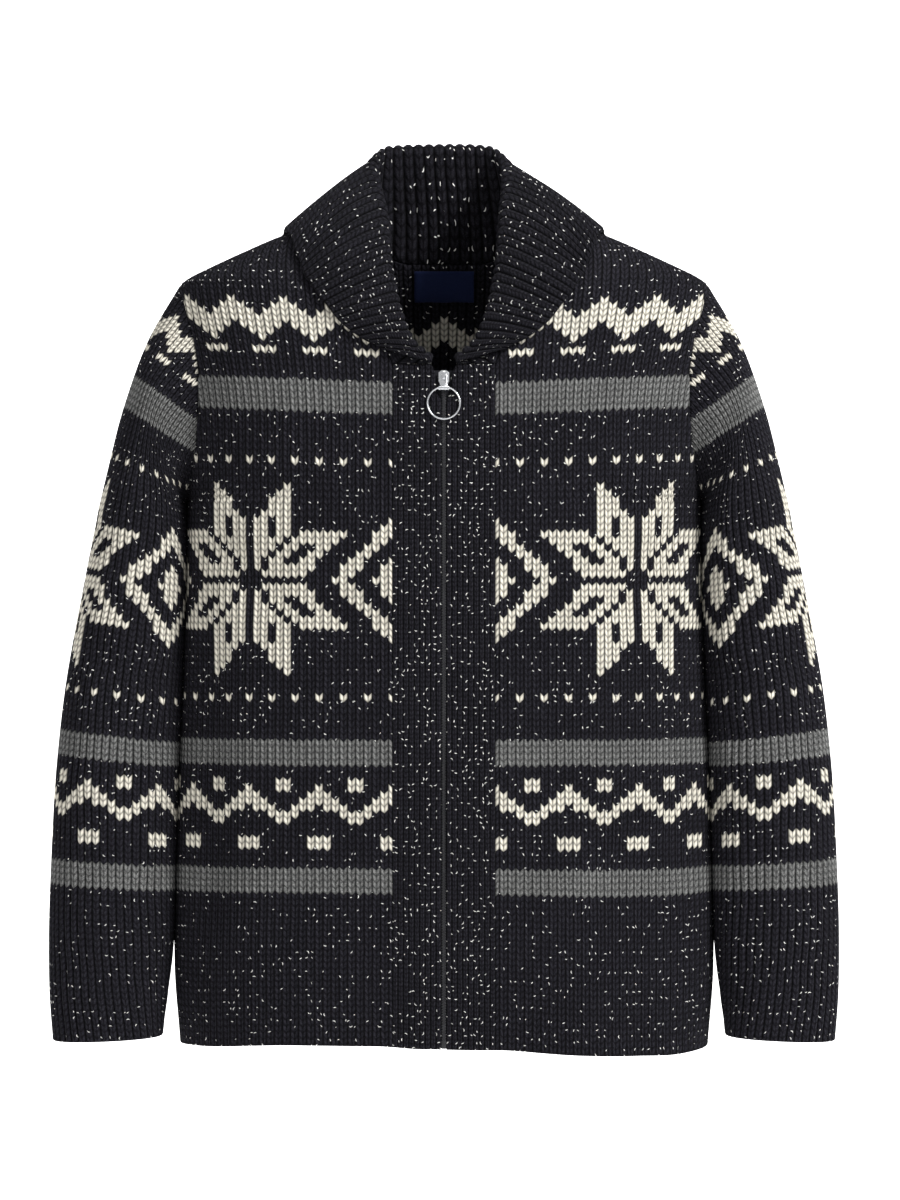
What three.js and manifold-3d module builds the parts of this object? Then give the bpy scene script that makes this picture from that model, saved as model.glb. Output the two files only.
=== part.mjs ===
// A zip-front cowichan cardigan with a rolled shawl collar, filled out and empty, as if worn.
// Millimetres, +Z up, front towards -Y. The origin is at the neck base, between the shoulders.
import * as THREE from 'three';
import { mergeVertices } from 'three/addons/utils/BufferGeometryUtils.js';
import Module from 'manifold-3d';

// ---------------------------------------------------------------- driving dimensions
const WALL = 3.6;             // thickness of the bulky knit
const SEAM = 0.4;             // gap left between neighbouring pieces
const HEM_Z = -713;           // lower edge of the body
const UNDERARM_Z = -233;      // foot of the armhole
const TIP_Z = -42;            // shoulder tip, top of the armhole
const NECK_POINT_Z = 20;      // where shoulder seam and neckline meet
const BACK_NECK_Z = -18;      // back neckline at the middle
const COLLAR_WALL = 4.4;      // the collar's rib is thicker
const EDGE_LIFT = 3.4;        // the free edge's middle rides this far off the body
const BAND_TOP_Z = -118;      // where the collar is sewn across the bands
const PLAN_POWER = 2.4;       // roundness of the body's plan
const ARMHOLE_HALF_DEPTH = 52;
const ARMHOLE_ROUNDNESS = 0.9;
const SLEEVE_ROUNDNESS = 0.92;
const NORMAL_STEP = 3;        // half the height over which the body's slope is measured

const BAND_OUTER = 44.5;      // half width over both bands
const BAND_INNER = 2.1;       // half gap left for the zip chain
const SLIDER_CLEAR = 6.2;     // half gap beside the slider

// Plan of the body at each height: half width, reach to the front and back, middle of the side.
const BODY = [
  { z: -713, half: 234, front: 103, back: 98, mid: 4 },
  { z: -640, half: 239, front: 107, back: 102, mid: 4 },
  { z: -500, half: 236, front: 106, back: 103, mid: 4 },
  { z: -380, half: 231, front: 106, back: 104, mid: 4 },
  { z: -290, half: 228, front: 107, back: 106, mid: 5 },
  { z: -233, half: 228, front: 107, back: 107, mid: 6 },
  { z: -160, half: 233, front: 102, back: 106, mid: 7 },
  { z: -100, half: 237, front: 93, back: 99, mid: 8 },
  { z: -62, half: 239, front: 84, back: 88, mid: 8 },
  { z: -50, half: 237.5, front: 80, back: 84, mid: 8 },
  { z: -42, half: 234, front: 76, back: 80, mid: 8 },
  { z: -36, half: 226, front: 73, back: 78, mid: 8 },
  { z: -28, half: 210, front: 69, back: 75, mid: 8 },
  { z: -20, half: 193, front: 65, back: 71, mid: 8 },
  { z: -3, half: 155, front: 55, back: 63, mid: 8 },
  { z: 10, half: 122, front: 47, back: 56, mid: 8 },
  { z: 20, half: 96, front: 41, back: 49, mid: 8 },
];

// Neckline: half width at each height, front and back.
const FRONT_NECK = [
  { z: -118, half: 44.9 },
  { z: -85, half: 57 },
  { z: -50, half: 72 },
  { z: -20, half: 82 },
  { z: 20, half: 90 },
];
const BACK_NECK = [
  { z: -18, half: 34 },
  { z: -10, half: 60 },
  { z: 2, half: 76 },
  { z: 20, half: 90 },
];

// Sleeve sections: outer and inner ends in the front view, girth towards front and back.
const SLEEVE = [
  { ox: 263, oz: -92, ix: 232.5, iz: -236.5, depth: 59, mid: 7 },
  { ox: 284, oz: -150, ix: 232, iz: -250, depth: 63, mid: 6 },
  { ox: 298, oz: -205, ix: 230.5, iz: -274, depth: 64, mid: 5 },
  { ox: 309, oz: -255, ix: 230, iz: -302, depth: 63, mid: 4 },
  { ox: 322, oz: -322, ix: 231.5, iz: -350, depth: 60, mid: 1 },
  { ox: 335, oz: -396, ix: 234, iz: -414, depth: 57, mid: -3 },
  { ox: 343, oz: -470, ix: 236.5, iz: -480, depth: 53, mid: -7 },
  { ox: 347, oz: -545, ix: 238.5, iz: -550, depth: 49, mid: -11 },
  { ox: 349, oz: -620, ix: 240.5, iz: -620, depth: 45, mid: -15 },
  { ox: 348, oz: -672, ix: 244, iz: -670, depth: 41, mid: -18 },
  { ox: 345, oz: -710, ix: 248, iz: -706, depth: 38, mid: -20 },
];

// Shawl collar, from the middle of the back (0) round the neck to its end on the band (1):
// the fold it rolls over, with the radius of the roll.
const COLLAR_FOLD = [
  { along: 0.0, x: 0, y: 60, z: 87, roll: 8 },
  { along: 0.1, x: 25, y: 59, z: 87, roll: 8 },
  { along: 0.2, x: 45, y: 52, z: 85, roll: 8 },
  { along: 0.28, x: 53, y: 38, z: 76, roll: 7.5 },
  { along: 0.34, x: 54, y: 22, z: 61, roll: 7 },
  { along: 0.42, x: 52, y: -2, z: 36, roll: 6.5 },
  { along: 0.52, x: 51, y: -28, z: 2, roll: 6.5 },
  { along: 0.62, x: 49, y: -50, z: -31, roll: 6 },
  { along: 0.73, x: 43, y: -68, z: -61, roll: 5 },
  { along: 0.82, x: 35, y: -80, z: -84, roll: 4.2 },
  { along: 0.9, x: 25, y: -88, z: -101, roll: 3.4 },
  { along: 1.0, x: 9, y: -96, z: -112.5, roll: 2.8 },
];

// The free edge of the collar's fall, as a place on the body, and how far the fall bows out.
const COLLAR_EDGE = [
  { along: 0.0, angle: 180, z: -34, bow: 7 },
  { along: 0.16, angle: 165, z: -31, bow: 7 },
  { along: 0.26, angle: 146, z: -20, bow: 8 },
  { along: 0.34, angle: 120, z: -5, bow: 7 },
  { along: 0.42, angle: 88, z: 3, bow: 6 },
  { along: 0.5, angle: 58, z: -3, bow: 6.5 },
  { along: 0.6, angle: 38, z: -20, bow: 8 },
  { along: 0.7, angle: 28, z: -38, bow: 8 },
  { along: 0.8, angle: 22, z: -62, bow: 6.5 },
  { along: 0.88, angle: 18, z: -82, bow: 5 },
  { along: 0.94, angle: 13, z: -98, bow: 3 },
  { along: 1.0, angle: 9, z: -106, bow: 2 },
];

// ---------------------------------------------------------------- reading the tables
// Value of one column of a table at a place along it, with a smooth monotone curve between rows.
function along(table, key, place, column) {
  const last = table.length - 1;
  const sign = table[last][key] > table[0][key] ? 1 : -1;
  const at = THREE.MathUtils.clamp(place * sign, table[0][key] * sign, table[last][key] * sign);
  let i = 0;
  while (i < last - 1 && table[i + 1][key] * sign < at) i += 1;
  const slope = (k) => {
    const rise = table[k + 1][column] - table[k][column];
    return rise / ((table[k + 1][key] - table[k][key]) * sign);
  };
  const tangent = (k) => {
    if (k === 0) return slope(0);
    if (k === last) return slope(last - 1);
    const before = slope(k - 1);
    const after = slope(k);
    return before * after <= 0 ? 0 : (2 * before * after) / (before + after);
  };
  const width = (table[i + 1][key] - table[i][key]) * sign;
  const t = (at - table[i][key] * sign) / width;
  const a = table[i][column];
  const b = table[i + 1][column];
  const ease = t * t * (3 - 2 * t);
  const lean = (1 - t) * tangent(i) - t * tangent(i + 1);
  return a + (b - a) * ease + width * t * (1 - t) * lean;
}

const power = (value, exponent) => Math.sign(value) * Math.abs(value) ** exponent;

// ---------------------------------------------------------------- the body's surface
// Angle 0 is the middle of the front, +90 the side at +X, 180 the middle of the back.
function bodyPoint(angle, z) {
  const turn = THREE.MathUtils.degToRad(angle);
  const half = along(BODY, 'z', z, 'half');
  const x = half * power(Math.sin(turn), 2 / PLAN_POWER);
  const mid = along(BODY, 'z', z, 'mid');
  const y = mid - bodyReach(z, Math.cos(turn) < 0) * power(Math.cos(turn), 2 / PLAN_POWER);
  return new THREE.Vector3(x, y, z);
}

// Distance from the middle of the side to the farthest point of the front or back.
function bodyReach(z, onBack) {
  const mid = along(BODY, 'z', z, 'mid');
  return onBack ? along(BODY, 'z', z, 'back') - mid : along(BODY, 'z', z, 'front') + mid;
}

function bodyNormal(angle, z) {
  const low = Math.max(z - NORMAL_STEP, HEM_Z);
  const high = Math.min(z + NORMAL_STEP, NECK_POINT_Z);
  const round = bodyPoint(angle + 0.5, z).sub(bodyPoint(angle - 0.5, z));
  const rise = bodyPoint(angle, high).sub(bodyPoint(angle, low));
  return round.cross(rise).normalize();
}

// The angle at which the body reaches a half width x at height z, on the front or the back.
function angleAtX(x, z, onBack) {
  const half = along(BODY, 'z', z, 'half');
  const ratio = Math.min(Math.abs(x) / half, 1);
  const turn = THREE.MathUtils.radToDeg(Math.asin(ratio ** (PLAN_POWER / 2)));
  return onBack ? 180 - turn : turn;
}

// The armhole in the side view is an upright oval; its place on the body follows from that.
const ARMHOLE_MID_Z = (TIP_Z + UNDERARM_Z) / 2;
const ARMHOLE_HALF_HEIGHT = (TIP_Z - UNDERARM_Z) / 2;

function armholeAngle(z, onBack) {
  const cosine = THREE.MathUtils.clamp((z - ARMHOLE_MID_Z) / ARMHOLE_HALF_HEIGHT, -1, 1);
  const depth = ARMHOLE_HALF_DEPTH * Math.sqrt(1 - cosine * cosine) ** ARMHOLE_ROUNDNESS;
  const share = (depth / bodyReach(z, onBack)) ** (PLAN_POWER / 2);
  const turn = THREE.MathUtils.radToDeg(Math.acos(share));
  return onBack ? 180 - turn : turn;
}

// ---------------------------------------------------------------- closed walls from patches
// A patch is a list of outer points, inner points and four-sided faces. Points at one place merge,
// and every open edge is closed with a strip from the outer to the inner skin.
class Patch {
  constructor() {
    this.outer = [];
    this.inner = [];
    this.faces = [];
    this.places = new Map();
  }

  point(outer, inner) {
    const key = outer.toArray().map((n) => n.toFixed(3)).join(' ');
    if (!this.places.has(key)) {
      this.places.set(key, this.outer.length);
      this.outer.push(outer);
      this.inner.push(inner);
    }
    return this.places.get(key);
  }

  // rows[i][j] is { outer, inner }; the outer skin faces right when j runs left to right, i upwards.
  grid(rows, closed = false) {
    const ids = rows.map((row) => row.map((p) => this.point(p.outer, p.inner)));
    const columns = closed ? ids[0].length : ids[0].length - 1;
    for (let i = 0; i < ids.length - 1; i += 1) {
      for (let j = 0; j < columns; j += 1) {
        const k = (j + 1) % ids[0].length;
        this.faces.push([ids[i][j], ids[i][k], ids[i + 1][k], ids[i + 1][j]]);
      }
    }
  }

  geometry() {
    const count = this.outer.length;
    const triangles = [];
    const edges = new Map();
    const addTriangle = (a, b, c) => {
      if (a !== b && b !== c && c !== a) triangles.push([a, b, c]);
    };
    for (const [a, b, c, d] of this.faces) {
      addTriangle(a, b, c);
      addTriangle(a, c, d);
    }
    for (const [a, b, c] of triangles) {
      for (const [p, q] of [[a, b], [b, c], [c, a]]) edges.set(`${p} ${q}`, [p, q]);
    }
    const index = [];
    for (const [a, b, c] of triangles) {
      index.push(a, b, c, a + count, c + count, b + count);
    }
    for (const [p, q] of edges.values()) {
      if (edges.has(`${q} ${p}`)) continue;
      index.push(q, p, p + count, q, p + count, q + count);
    }
    const positions = [...this.outer, ...this.inner].flatMap((p) => p.toArray());
    const geometry = new THREE.BufferGeometry();
    geometry.setAttribute('position', new THREE.Float32BufferAttribute(positions, 3));
    geometry.setIndex(index);
    return geometry;
  }
}

function steps(from, to, count) {
  return Array.from({ length: count + 1 }, (_, i) => from + ((to - from) * i) / count);
}

function wallAt(angle, z, wall = WALL) {
  const outer = bodyPoint(angle, z);
  const inner = outer.clone().addScaledVector(bodyNormal(angle, z), -wall);
  return { outer, inner };
}

const mirrored = (p) => ({
  outer: p.outer.clone().setX(-p.outer.x),
  inner: p.inner.clone().setX(-p.inner.x),
});

// ---------------------------------------------------------------- body pieces
const HEM_ROW_COUNT = 9;
const ARMHOLE_ROW_COUNT = 10;
const HEM_ROWS = steps(HEM_Z, UNDERARM_Z, HEM_ROW_COUNT);
const ARMHOLE_STEPS = steps(180, 0, ARMHOLE_ROW_COUNT).slice(1, -1);
const ARMHOLE_ROWS = ARMHOLE_STEPS.map((a) => (
  ARMHOLE_MID_Z + ARMHOLE_HALF_HEIGHT * Math.cos(THREE.MathUtils.degToRad(a))));
const SHOULDER_ROWS = [TIP_Z, -37, -30, -20, -9, 2, 11, NECK_POINT_Z];
const ROWS = [...HEM_ROWS, ...ARMHOLE_ROWS, ...SHOULDER_ROWS];

// Degrees that keep half a seam clear of the side or shoulder line, measured on the body.
function seamAngle(z) {
  const span = bodyPoint(91, z).distanceTo(bodyPoint(89, z)) / 2;
  return Math.min(SEAM / 2 / span, 3);
}

function outerAngle(z, onBack) {
  const inArmhole = z > UNDERARM_Z + 0.01 && z < TIP_Z - 0.01;
  if (inArmhole) return armholeAngle(z, onBack);
  return onBack ? 90 + seamAngle(z) : 90 - seamAngle(z);
}

function frontInnerAngle(z) {
  const x = z <= BAND_TOP_Z ? BAND_OUTER + SEAM : along(FRONT_NECK, 'z', z, 'half');
  return angleAtX(x, z, false);
}

const FRONT_COLUMNS = 8;
const BACK_SIDE_COLUMNS = 6;
const BACK_MID_COLUMNS = 4;

function withNeckRow(rows, z) {
  return [...rows.filter((row) => Math.abs(row - z) > 4), z].sort((a, b) => a - b);
}

const FRONT_ROWS = withNeckRow(ROWS, BAND_TOP_Z);

function frontPiece(side) {
  const patch = new Patch();
  patch.grid(FRONT_ROWS.map((z) => {
    const angles = steps(frontInnerAngle(z), outerAngle(z, false), FRONT_COLUMNS);
    const row = angles.map((angle) => wallAt(angle, z));
    return side > 0 ? row : row.map(mirrored).reverse();
  }));
  return patch.geometry();
}

const BACK_ROWS = withNeckRow(ROWS, BACK_NECK_Z);

function backNeckAngle(z) {
  return angleAtX(along(BACK_NECK, 'z', z, 'half'), z, true);
}

function backPiece() {
  const patch = new Patch();
  const sideRow = (z) => {
    const neck = backNeckAngle(Math.max(z, BACK_NECK_Z));
    return steps(outerAngle(z, true), neck, BACK_SIDE_COLUMNS);
  };
  const right = BACK_ROWS.map((z) => sideRow(z).map((angle) => wallAt(angle, z)));
  const left = right.map((row) => row.map(mirrored).reverse());
  const below = BACK_ROWS.filter((z) => z <= BACK_NECK_Z);
  const middle = below.map((z) => {
    const edge = backNeckAngle(BACK_NECK_Z);
    return steps(edge, 360 - edge, BACK_MID_COLUMNS).map((angle) => wallAt(angle, z));
  });
  patch.grid(right);
  patch.grid(middle);
  patch.grid(left);
  return patch.geometry();
}

// The bands run from the hem to the collar; their inner edges part to let the slider through.
const BAND_EDGE = [
  { z: -713, half: BAND_INNER },
  { z: -150, half: BAND_INNER },
  { z: -143, half: SLIDER_CLEAR },
  { z: -128, half: SLIDER_CLEAR },
  { z: -118, half: 11 },
];
const BAND_COLUMNS = 3;
const BAND_ROWS = [...steps(HEM_Z, -190, 9), -158, -150, -146, -143, -137, -128, BAND_TOP_Z];

function bandPiece(side) {
  const patch = new Patch();
  patch.grid(BAND_ROWS.map((z) => {
    const from = along(BAND_EDGE, 'z', z, 'half');
    const row = steps(from, BAND_OUTER, BAND_COLUMNS).map((x) => wallAt(angleAtX(x, z, false), z));
    return side > 0 ? row : row.map(mirrored).reverse();
  }));
  return patch.geometry();
}

// ---------------------------------------------------------------- sleeves
// Round the sleeve, 0 is the shoulder or outer edge, 90 the front, 180 the inner edge, 270 the back.
const AROUND = 20;
const BLENDED = 3;            // sections after the armhole that get a rounded ring before them
const aroundAngles = Array.from({ length: AROUND }, (_, i) => (360 * i) / AROUND);

function armholeWall(turn) {
  const onBack = turn > 180;
  const z = ARMHOLE_MID_Z + ARMHOLE_HALF_HEIGHT * Math.cos(THREE.MathUtils.degToRad(turn));
  return wallAt(armholeAngle(z, onBack), z);
}

function sleeveSection(row, turn, wall) {
  const angle = THREE.MathUtils.degToRad(turn);
  const half = new THREE.Vector3((row.ox - row.ix) / 2, 0, (row.oz - row.iz) / 2);
  const centre = new THREE.Vector3((row.ox + row.ix) / 2, row.mid, (row.oz + row.iz) / 2);
  const shrink = (half.length() - wall) / half.length();
  return centre
    .addScaledVector(half, shrink * power(Math.cos(angle), SLEEVE_ROUNDNESS))
    .add(new THREE.Vector3(0, -(row.depth - wall) * power(Math.sin(angle), SLEEVE_ROUNDNESS), 0));
}

function sleevePiece(side) {
  const patch = new Patch();
  const first = aroundAngles.map((turn) => {
    const p = armholeWall(turn);
    const mid = along(BODY, 'z', p.outer.z, 'mid');
    const clear = new THREE.Vector3(0, mid - p.outer.y, ARMHOLE_MID_Z - p.outer.z).setLength(SEAM * 2);
    clear.x = SEAM;
    return { outer: p.outer.add(clear), inner: p.inner.add(clear) };
  });
  const sections = SLEEVE.map((row) => aroundAngles.map((turn) => (
    { outer: sleeveSection(row, turn, 0), inner: sleeveSection(row, turn, WALL) })));
  const rings = [first, ...sections];
  const finer = [first];
  for (let k = 1; k < rings.length; k += 1) {
    if (k <= BLENDED) {
      const blend = (key) => (p, j) => {
        const through = rings.slice(0, BLENDED + 2).map((ring) => ring[j][key]);
        const curve = new THREE.CatmullRomCurve3(through, false, 'centripetal');
        return curve.getPoint((k - 0.5) / (BLENDED + 1));
      };
      const outer = rings[k].map(blend('outer'));
      const inner = rings[k].map(blend('inner'));
      finer.push(outer.map((p, j) => ({ outer: p, inner: inner[j] })));
    }
    finer.push(rings[k]);
  }
  const turned = (ring) => (side > 0 ? [...ring].reverse() : ring.map(mirrored));
  patch.grid(finer.map(turned).reverse(), true);
  return patch.geometry();
}

// ---------------------------------------------------------------- collar
// Points of the neckline seam from the collar's end on the band to the middle of the back.
function neckSeam() {
  const bandTop = [11, 22, 33].map((x) => wallAt(angleAtX(x, BAND_TOP_Z, false), BAND_TOP_Z));
  const front = FRONT_ROWS.filter((z) => z >= BAND_TOP_Z).map((z) => wallAt(frontInnerAngle(z), z));
  const overTop = steps(frontInnerAngle(NECK_POINT_Z), backNeckAngle(NECK_POINT_Z), 4)
    .slice(1, -1)
    .map((angle) => wallAt(angle, NECK_POINT_Z));
  const backRows = BACK_ROWS.filter((z) => z > BACK_NECK_Z).reverse();
  const back = backRows.map((z) => wallAt(backNeckAngle(z), z));
  const flat = [BACK_NECK[0].half, BACK_NECK[0].half / 2, 0]
    .map((x) => wallAt(angleAtX(x, BACK_NECK_Z, true), BACK_NECK_Z));
  return [...bandTop, ...front, ...overTop, ...back, ...flat];
}

function acrossCollar(seam, place) {
  const fold = new THREE.Vector3(...['x', 'y', 'z'].map((key) => along(COLLAR_FOLD, 'along', place, key)));
  const roll = along(COLLAR_FOLD, 'along', place, 'roll');
  const edgeAngle = along(COLLAR_EDGE, 'along', place, 'angle');
  const edgeZ = along(COLLAR_EDGE, 'along', place, 'z');
  const edge = bodyPoint(edgeAngle, edgeZ).addScaledVector(bodyNormal(edgeAngle, edgeZ), EDGE_LIFT);
  const start = seam.outer.clone().add(seam.inner).multiplyScalar(0.5);
  const up = fold.clone().sub(start).normalize();
  const out = seam.outer.clone().sub(seam.inner).normalize();
  out.addScaledVector(up, -out.dot(up)).normalize();
  const centre = fold.clone().addScaledVector(up, -roll).addScaledVector(out, roll);
  const arc = [180, 120, 60, 0].map((degrees) => {
    const turn = THREE.MathUtils.degToRad(degrees);
    return centre.clone()
      .addScaledVector(out, roll * Math.cos(turn))
      .addScaledVector(up, roll * Math.sin(turn));
  });
  const stand = [0, 1 / 3, 2 / 3].map((t) => start.clone().lerp(arc[0], t));
  const bow = along(COLLAR_EDGE, 'along', place, 'bow');
  const fall = [0.33, 0.67, 1].map((t) => (
    arc[3].clone().lerp(edge, t).addScaledVector(out, bow * 4 * t * (1 - t))));
  return [...stand, ...arc, ...fall];
}

function collarPiece() {
  const half = neckSeam();
  const lengths = [0];
  for (let i = 1; i < half.length; i += 1) {
    lengths.push(lengths[i - 1] + half[i].outer.distanceTo(half[i - 1].outer));
  }
  const total = lengths[lengths.length - 1];
  const right = half.map((seam, i) => {
    const towardsMiddle = -SEAM * 1.1 * THREE.MathUtils.clamp(seam.outer.x / 30, 0, 1);
    const lift = new THREE.Vector3(towardsMiddle, 0, SEAM);
    const moved = { outer: seam.outer.clone().add(lift), inner: seam.inner.clone().add(lift) };
    return { seam: moved, path: acrossCollar(moved, 1 - lengths[i] / total) };
  });
  const left = right.slice(0, -1).reverse().map((station) => ({
    seam: mirrored(station.seam),
    path: station.path.map((p) => p.clone().setX(-p.x)),
  }));
  const stations = [...right, ...left];
  const last = stations.length - 1;
  const rows = right[0].path.map((_, i) => stations.map((station, j) => {
    if (i === 0) return station.seam;
    const p = station.path[i];
    const before = stations[Math.max(j - 1, 0)].path[i];
    const after = stations[Math.min(j + 1, last)].path[i];
    const below = station.path[i - 1];
    const above = station.path[Math.min(i + 1, station.path.length - 1)];
    const normal = after.clone().sub(before).cross(above.clone().sub(below)).normalize();
    return {
      outer: p.clone().addScaledVector(normal, COLLAR_WALL / 2),
      inner: p.clone().addScaledVector(normal, -COLLAR_WALL / 2),
    };
  }));
  const patch = new Patch();
  patch.grid(rows);
  return patch.geometry();
}

// ---------------------------------------------------------------- zip
// A closed bar through rings of points, with flat ends cut by the profile they share.
function bar(rings, profile) {
  const count = profile.length;
  const positions = rings.flat().flatMap((p) => p.toArray());
  const index = [];
  for (let i = 0; i < rings.length - 1; i += 1) {
    for (let j = 0; j < count; j += 1) {
      const a = i * count + j;
      const b = i * count + ((j + 1) % count);
      index.push(a, b, b + count, a, b + count, a + count);
    }
  }
  const top = (rings.length - 1) * count;
  for (const [a, b, c] of THREE.ShapeUtils.triangulateShape(profile, [])) {
    index.push(a, c, b, top + a, top + b, top + c);
  }
  const geometry = new THREE.BufferGeometry();
  geometry.setAttribute('position', new THREE.Float32BufferAttribute(positions, 3));
  geometry.setIndex(index);
  return geometry;
}

const TAPE = { gap: 0.6, thick: 0.9, width: 14, top: -123, chainTop: -131, chainFace: 1.4 };
const CHAIN = { inner: 0.3, outer: 1.6, sliderGap: 2.6, cord: 0.6, lip: 0.2 };

// Each tape lies behind its band, with half the chain along its edge, sunk between the bands.
function tapePiece(side) {
  const back = WALL + TAPE.gap;
  const rows = [...steps(HEM_Z + 4, -190, 8), -150, TAPE.chainTop, TAPE.chainTop + 0.5, TAPE.top];
  const profile = [[0, 0], [1, 0], [1, 1], [2, 1], [2, 2], [0, 2]].map(([x, y]) => new THREE.Vector2(x, y));
  const rings = rows.map((z) => {
    const open = z > TAPE.chainTop;
    const across = open
      ? [CHAIN.sliderGap, CHAIN.sliderGap + CHAIN.cord, TAPE.width]
      : [CHAIN.inner, CHAIN.outer, TAPE.width];
    const deep = [open ? back - CHAIN.lip : TAPE.chainFace, back, back + TAPE.thick];
    return profile.map((corner) => {
      const x = across[corner.x];
      return wallAt(angleAtX(x, z, false), z, deep[corner.y]).inner.setX(side * x);
    });
  });
  if (side > 0) return bar(rings, profile);
  const turned = [...profile].reverse().map((corner) => new THREE.Vector2(-corner.x, corner.y));
  return bar(rings.map((ring) => [...ring].reverse()), turned);
}

// The slider, its pull tab and its ring lie along the front, which leans back towards the neck.
const SLIDER_Z = -130.5;
const SLIDER_LEAN_SPAN = 36;
const SLIDER = { width: 9, height: 13, plate: 1.2, rim: 1.0, back: 6.2 };
const HINGE = { above: 2, out: 2.2 };
const BRIDGE = { width: 2.2, length: 8, height: 2.9, hole: 2.0, holeLength: 5.4 };
const TAB = { width: 5.4, rail: 1.2, thick: 1.2, window: 5.4, length: 11.3 };
const BARREL = { outer: 1.9, bore: 1.2, half: 4.6 };
const RING = { radius: 14, wire: 0.8, straight: 5.6, arcSteps: 36, wireSides: 10 };
const POST = { width: 2.8, depth: 3.4 };
const ROUND_SIDES = 20;

const seat = bodyPoint(0, SLIDER_Z);
const lower = bodyPoint(0, SLIDER_Z - SLIDER_LEAN_SPAN);
const lean = Math.atan2(seat.y - lower.y, SLIDER_LEAN_SPAN);

function outline(points) {
  return new THREE.Shape(points.map(([x, y]) => new THREE.Vector2(x, y)));
}

// An extruded shape whose thickness is centred on the plane it is drawn in.
function slab(shape, thick, curveSegments = 8) {
  const geometry = new THREE.ExtrudeGeometry(shape, { depth: thick, bevelEnabled: false, curveSegments });
  geometry.translate(0, 0, -thick / 2);
  return geometry;
}

const wasm = await Module();
wasm.setup();

function solid(geometry) {
  const plain = geometry.clone();
  plain.deleteAttribute('normal');
  plain.deleteAttribute('uv');
  const merged = mergeVertices(plain, 1e-4);
  return new wasm.Manifold(new wasm.Mesh({
    numProp: 3,
    vertProperties: new Float32Array(merged.attributes.position.array),
    triVerts: new Uint32Array(merged.index.array),
  }));
}

function geometryOf(manifold) {
  const mesh = manifold.getMesh();
  const geometry = new THREE.BufferGeometry();
  geometry.setAttribute('position', new THREE.BufferAttribute(new Float32Array(mesh.vertProperties), 3));
  geometry.setIndex(new THREE.BufferAttribute(new Uint32Array(mesh.triVerts), 1));
  return geometry;
}

// Local frame of the zip pull: X across, Y up along the front, Z out of the cloth.
function sliderPiece() {
  const w = SLIDER.width / 2;
  const h = SLIDER.height / 2;
  const shield = outline([[-w * 0.7, -h], [w * 0.7, -h], [w, -h * 0.3], [w, h * 0.7], [w * 0.45, h],
    [-w * 0.45, h], [-w, h * 0.7], [-w, -h * 0.3]]);
  const front = slab(shield, SLIDER.plate).translate(0, 0, 0.6);
  const rear = slab(shield, SLIDER.rim).translate(0, 0, -SLIDER.back);
  const post = new THREE.BoxGeometry(POST.width, POST.depth, SLIDER.back + 0.4)
    .translate(0, h - 3.2, -SLIDER.back / 2 + 0.1);
  const rims = [-1, 1].map((side) => (
    new THREE.BoxGeometry(SLIDER.rim, h, 2).translate(side * (w - SLIDER.rim / 2), 0, -0.6)));
  const arch = outline([[-BRIDGE.length / 2, -0.3], [BRIDGE.length / 2, -0.3],
    [BRIDGE.length / 2, BRIDGE.height * 0.5], [BRIDGE.length * 0.32, BRIDGE.height],
    [-BRIDGE.length * 0.32, BRIDGE.height], [-BRIDGE.length / 2, BRIDGE.height * 0.5]]);
  const hole = outline([[-BRIDGE.holeLength / 2, 0.05], [BRIDGE.holeLength / 2, 0.05],
    [BRIDGE.holeLength / 2, BRIDGE.hole * 0.6], [BRIDGE.holeLength * 0.34, BRIDGE.hole],
    [-BRIDGE.holeLength * 0.34, BRIDGE.hole], [-BRIDGE.holeLength / 2, BRIDGE.hole * 0.6]]);
  const lengthwise = new THREE.Matrix4().set(0, 0, 1, 0, 1, 0, 0, 0, 0, 1, 0, 0, 0, 0, 0, 1);
  const stand = (geometry) => geometry.applyMatrix4(lengthwise).translate(0, HINGE.above, SLIDER.plate);
  let body = solid(front).add(solid(rear)).add(solid(post));
  for (const rim of rims) body = body.add(solid(rim));
  body = body.add(solid(stand(slab(arch, BRIDGE.width))));
  body = body.subtract(solid(stand(slab(hole, BRIDGE.width + 1))));
  return geometryOf(body);
}

// The tab hangs from a crossbar under the bridge and ends in a barrel that holds the ring.
function tabPiece() {
  const w = TAB.width / 2;
  const plate = outline([[-w, 0.6], [-w, -TAB.length], [w, -TAB.length], [w, 0.6]]);
  const window = outline([[-w + TAB.rail, -0.6], [-w + TAB.rail, -TAB.window], [w - TAB.rail, -TAB.window],
    [w - TAB.rail, -0.6]]);
  const barrel = new THREE.CylinderGeometry(BARREL.outer, BARREL.outer, BARREL.half * 2, ROUND_SIDES);
  const bore = new THREE.CylinderGeometry(BARREL.bore, BARREL.bore, BARREL.half * 2 + 2, ROUND_SIDES);
  for (const round of [barrel, bore]) round.rotateZ(Math.PI / 2).translate(0, -TAB.length, 0);
  const body = solid(slab(plate, TAB.thick)).subtract(solid(slab(window, TAB.thick + 1)));
  return geometryOf(body.add(solid(barrel)).subtract(solid(bore)));
}

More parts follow.
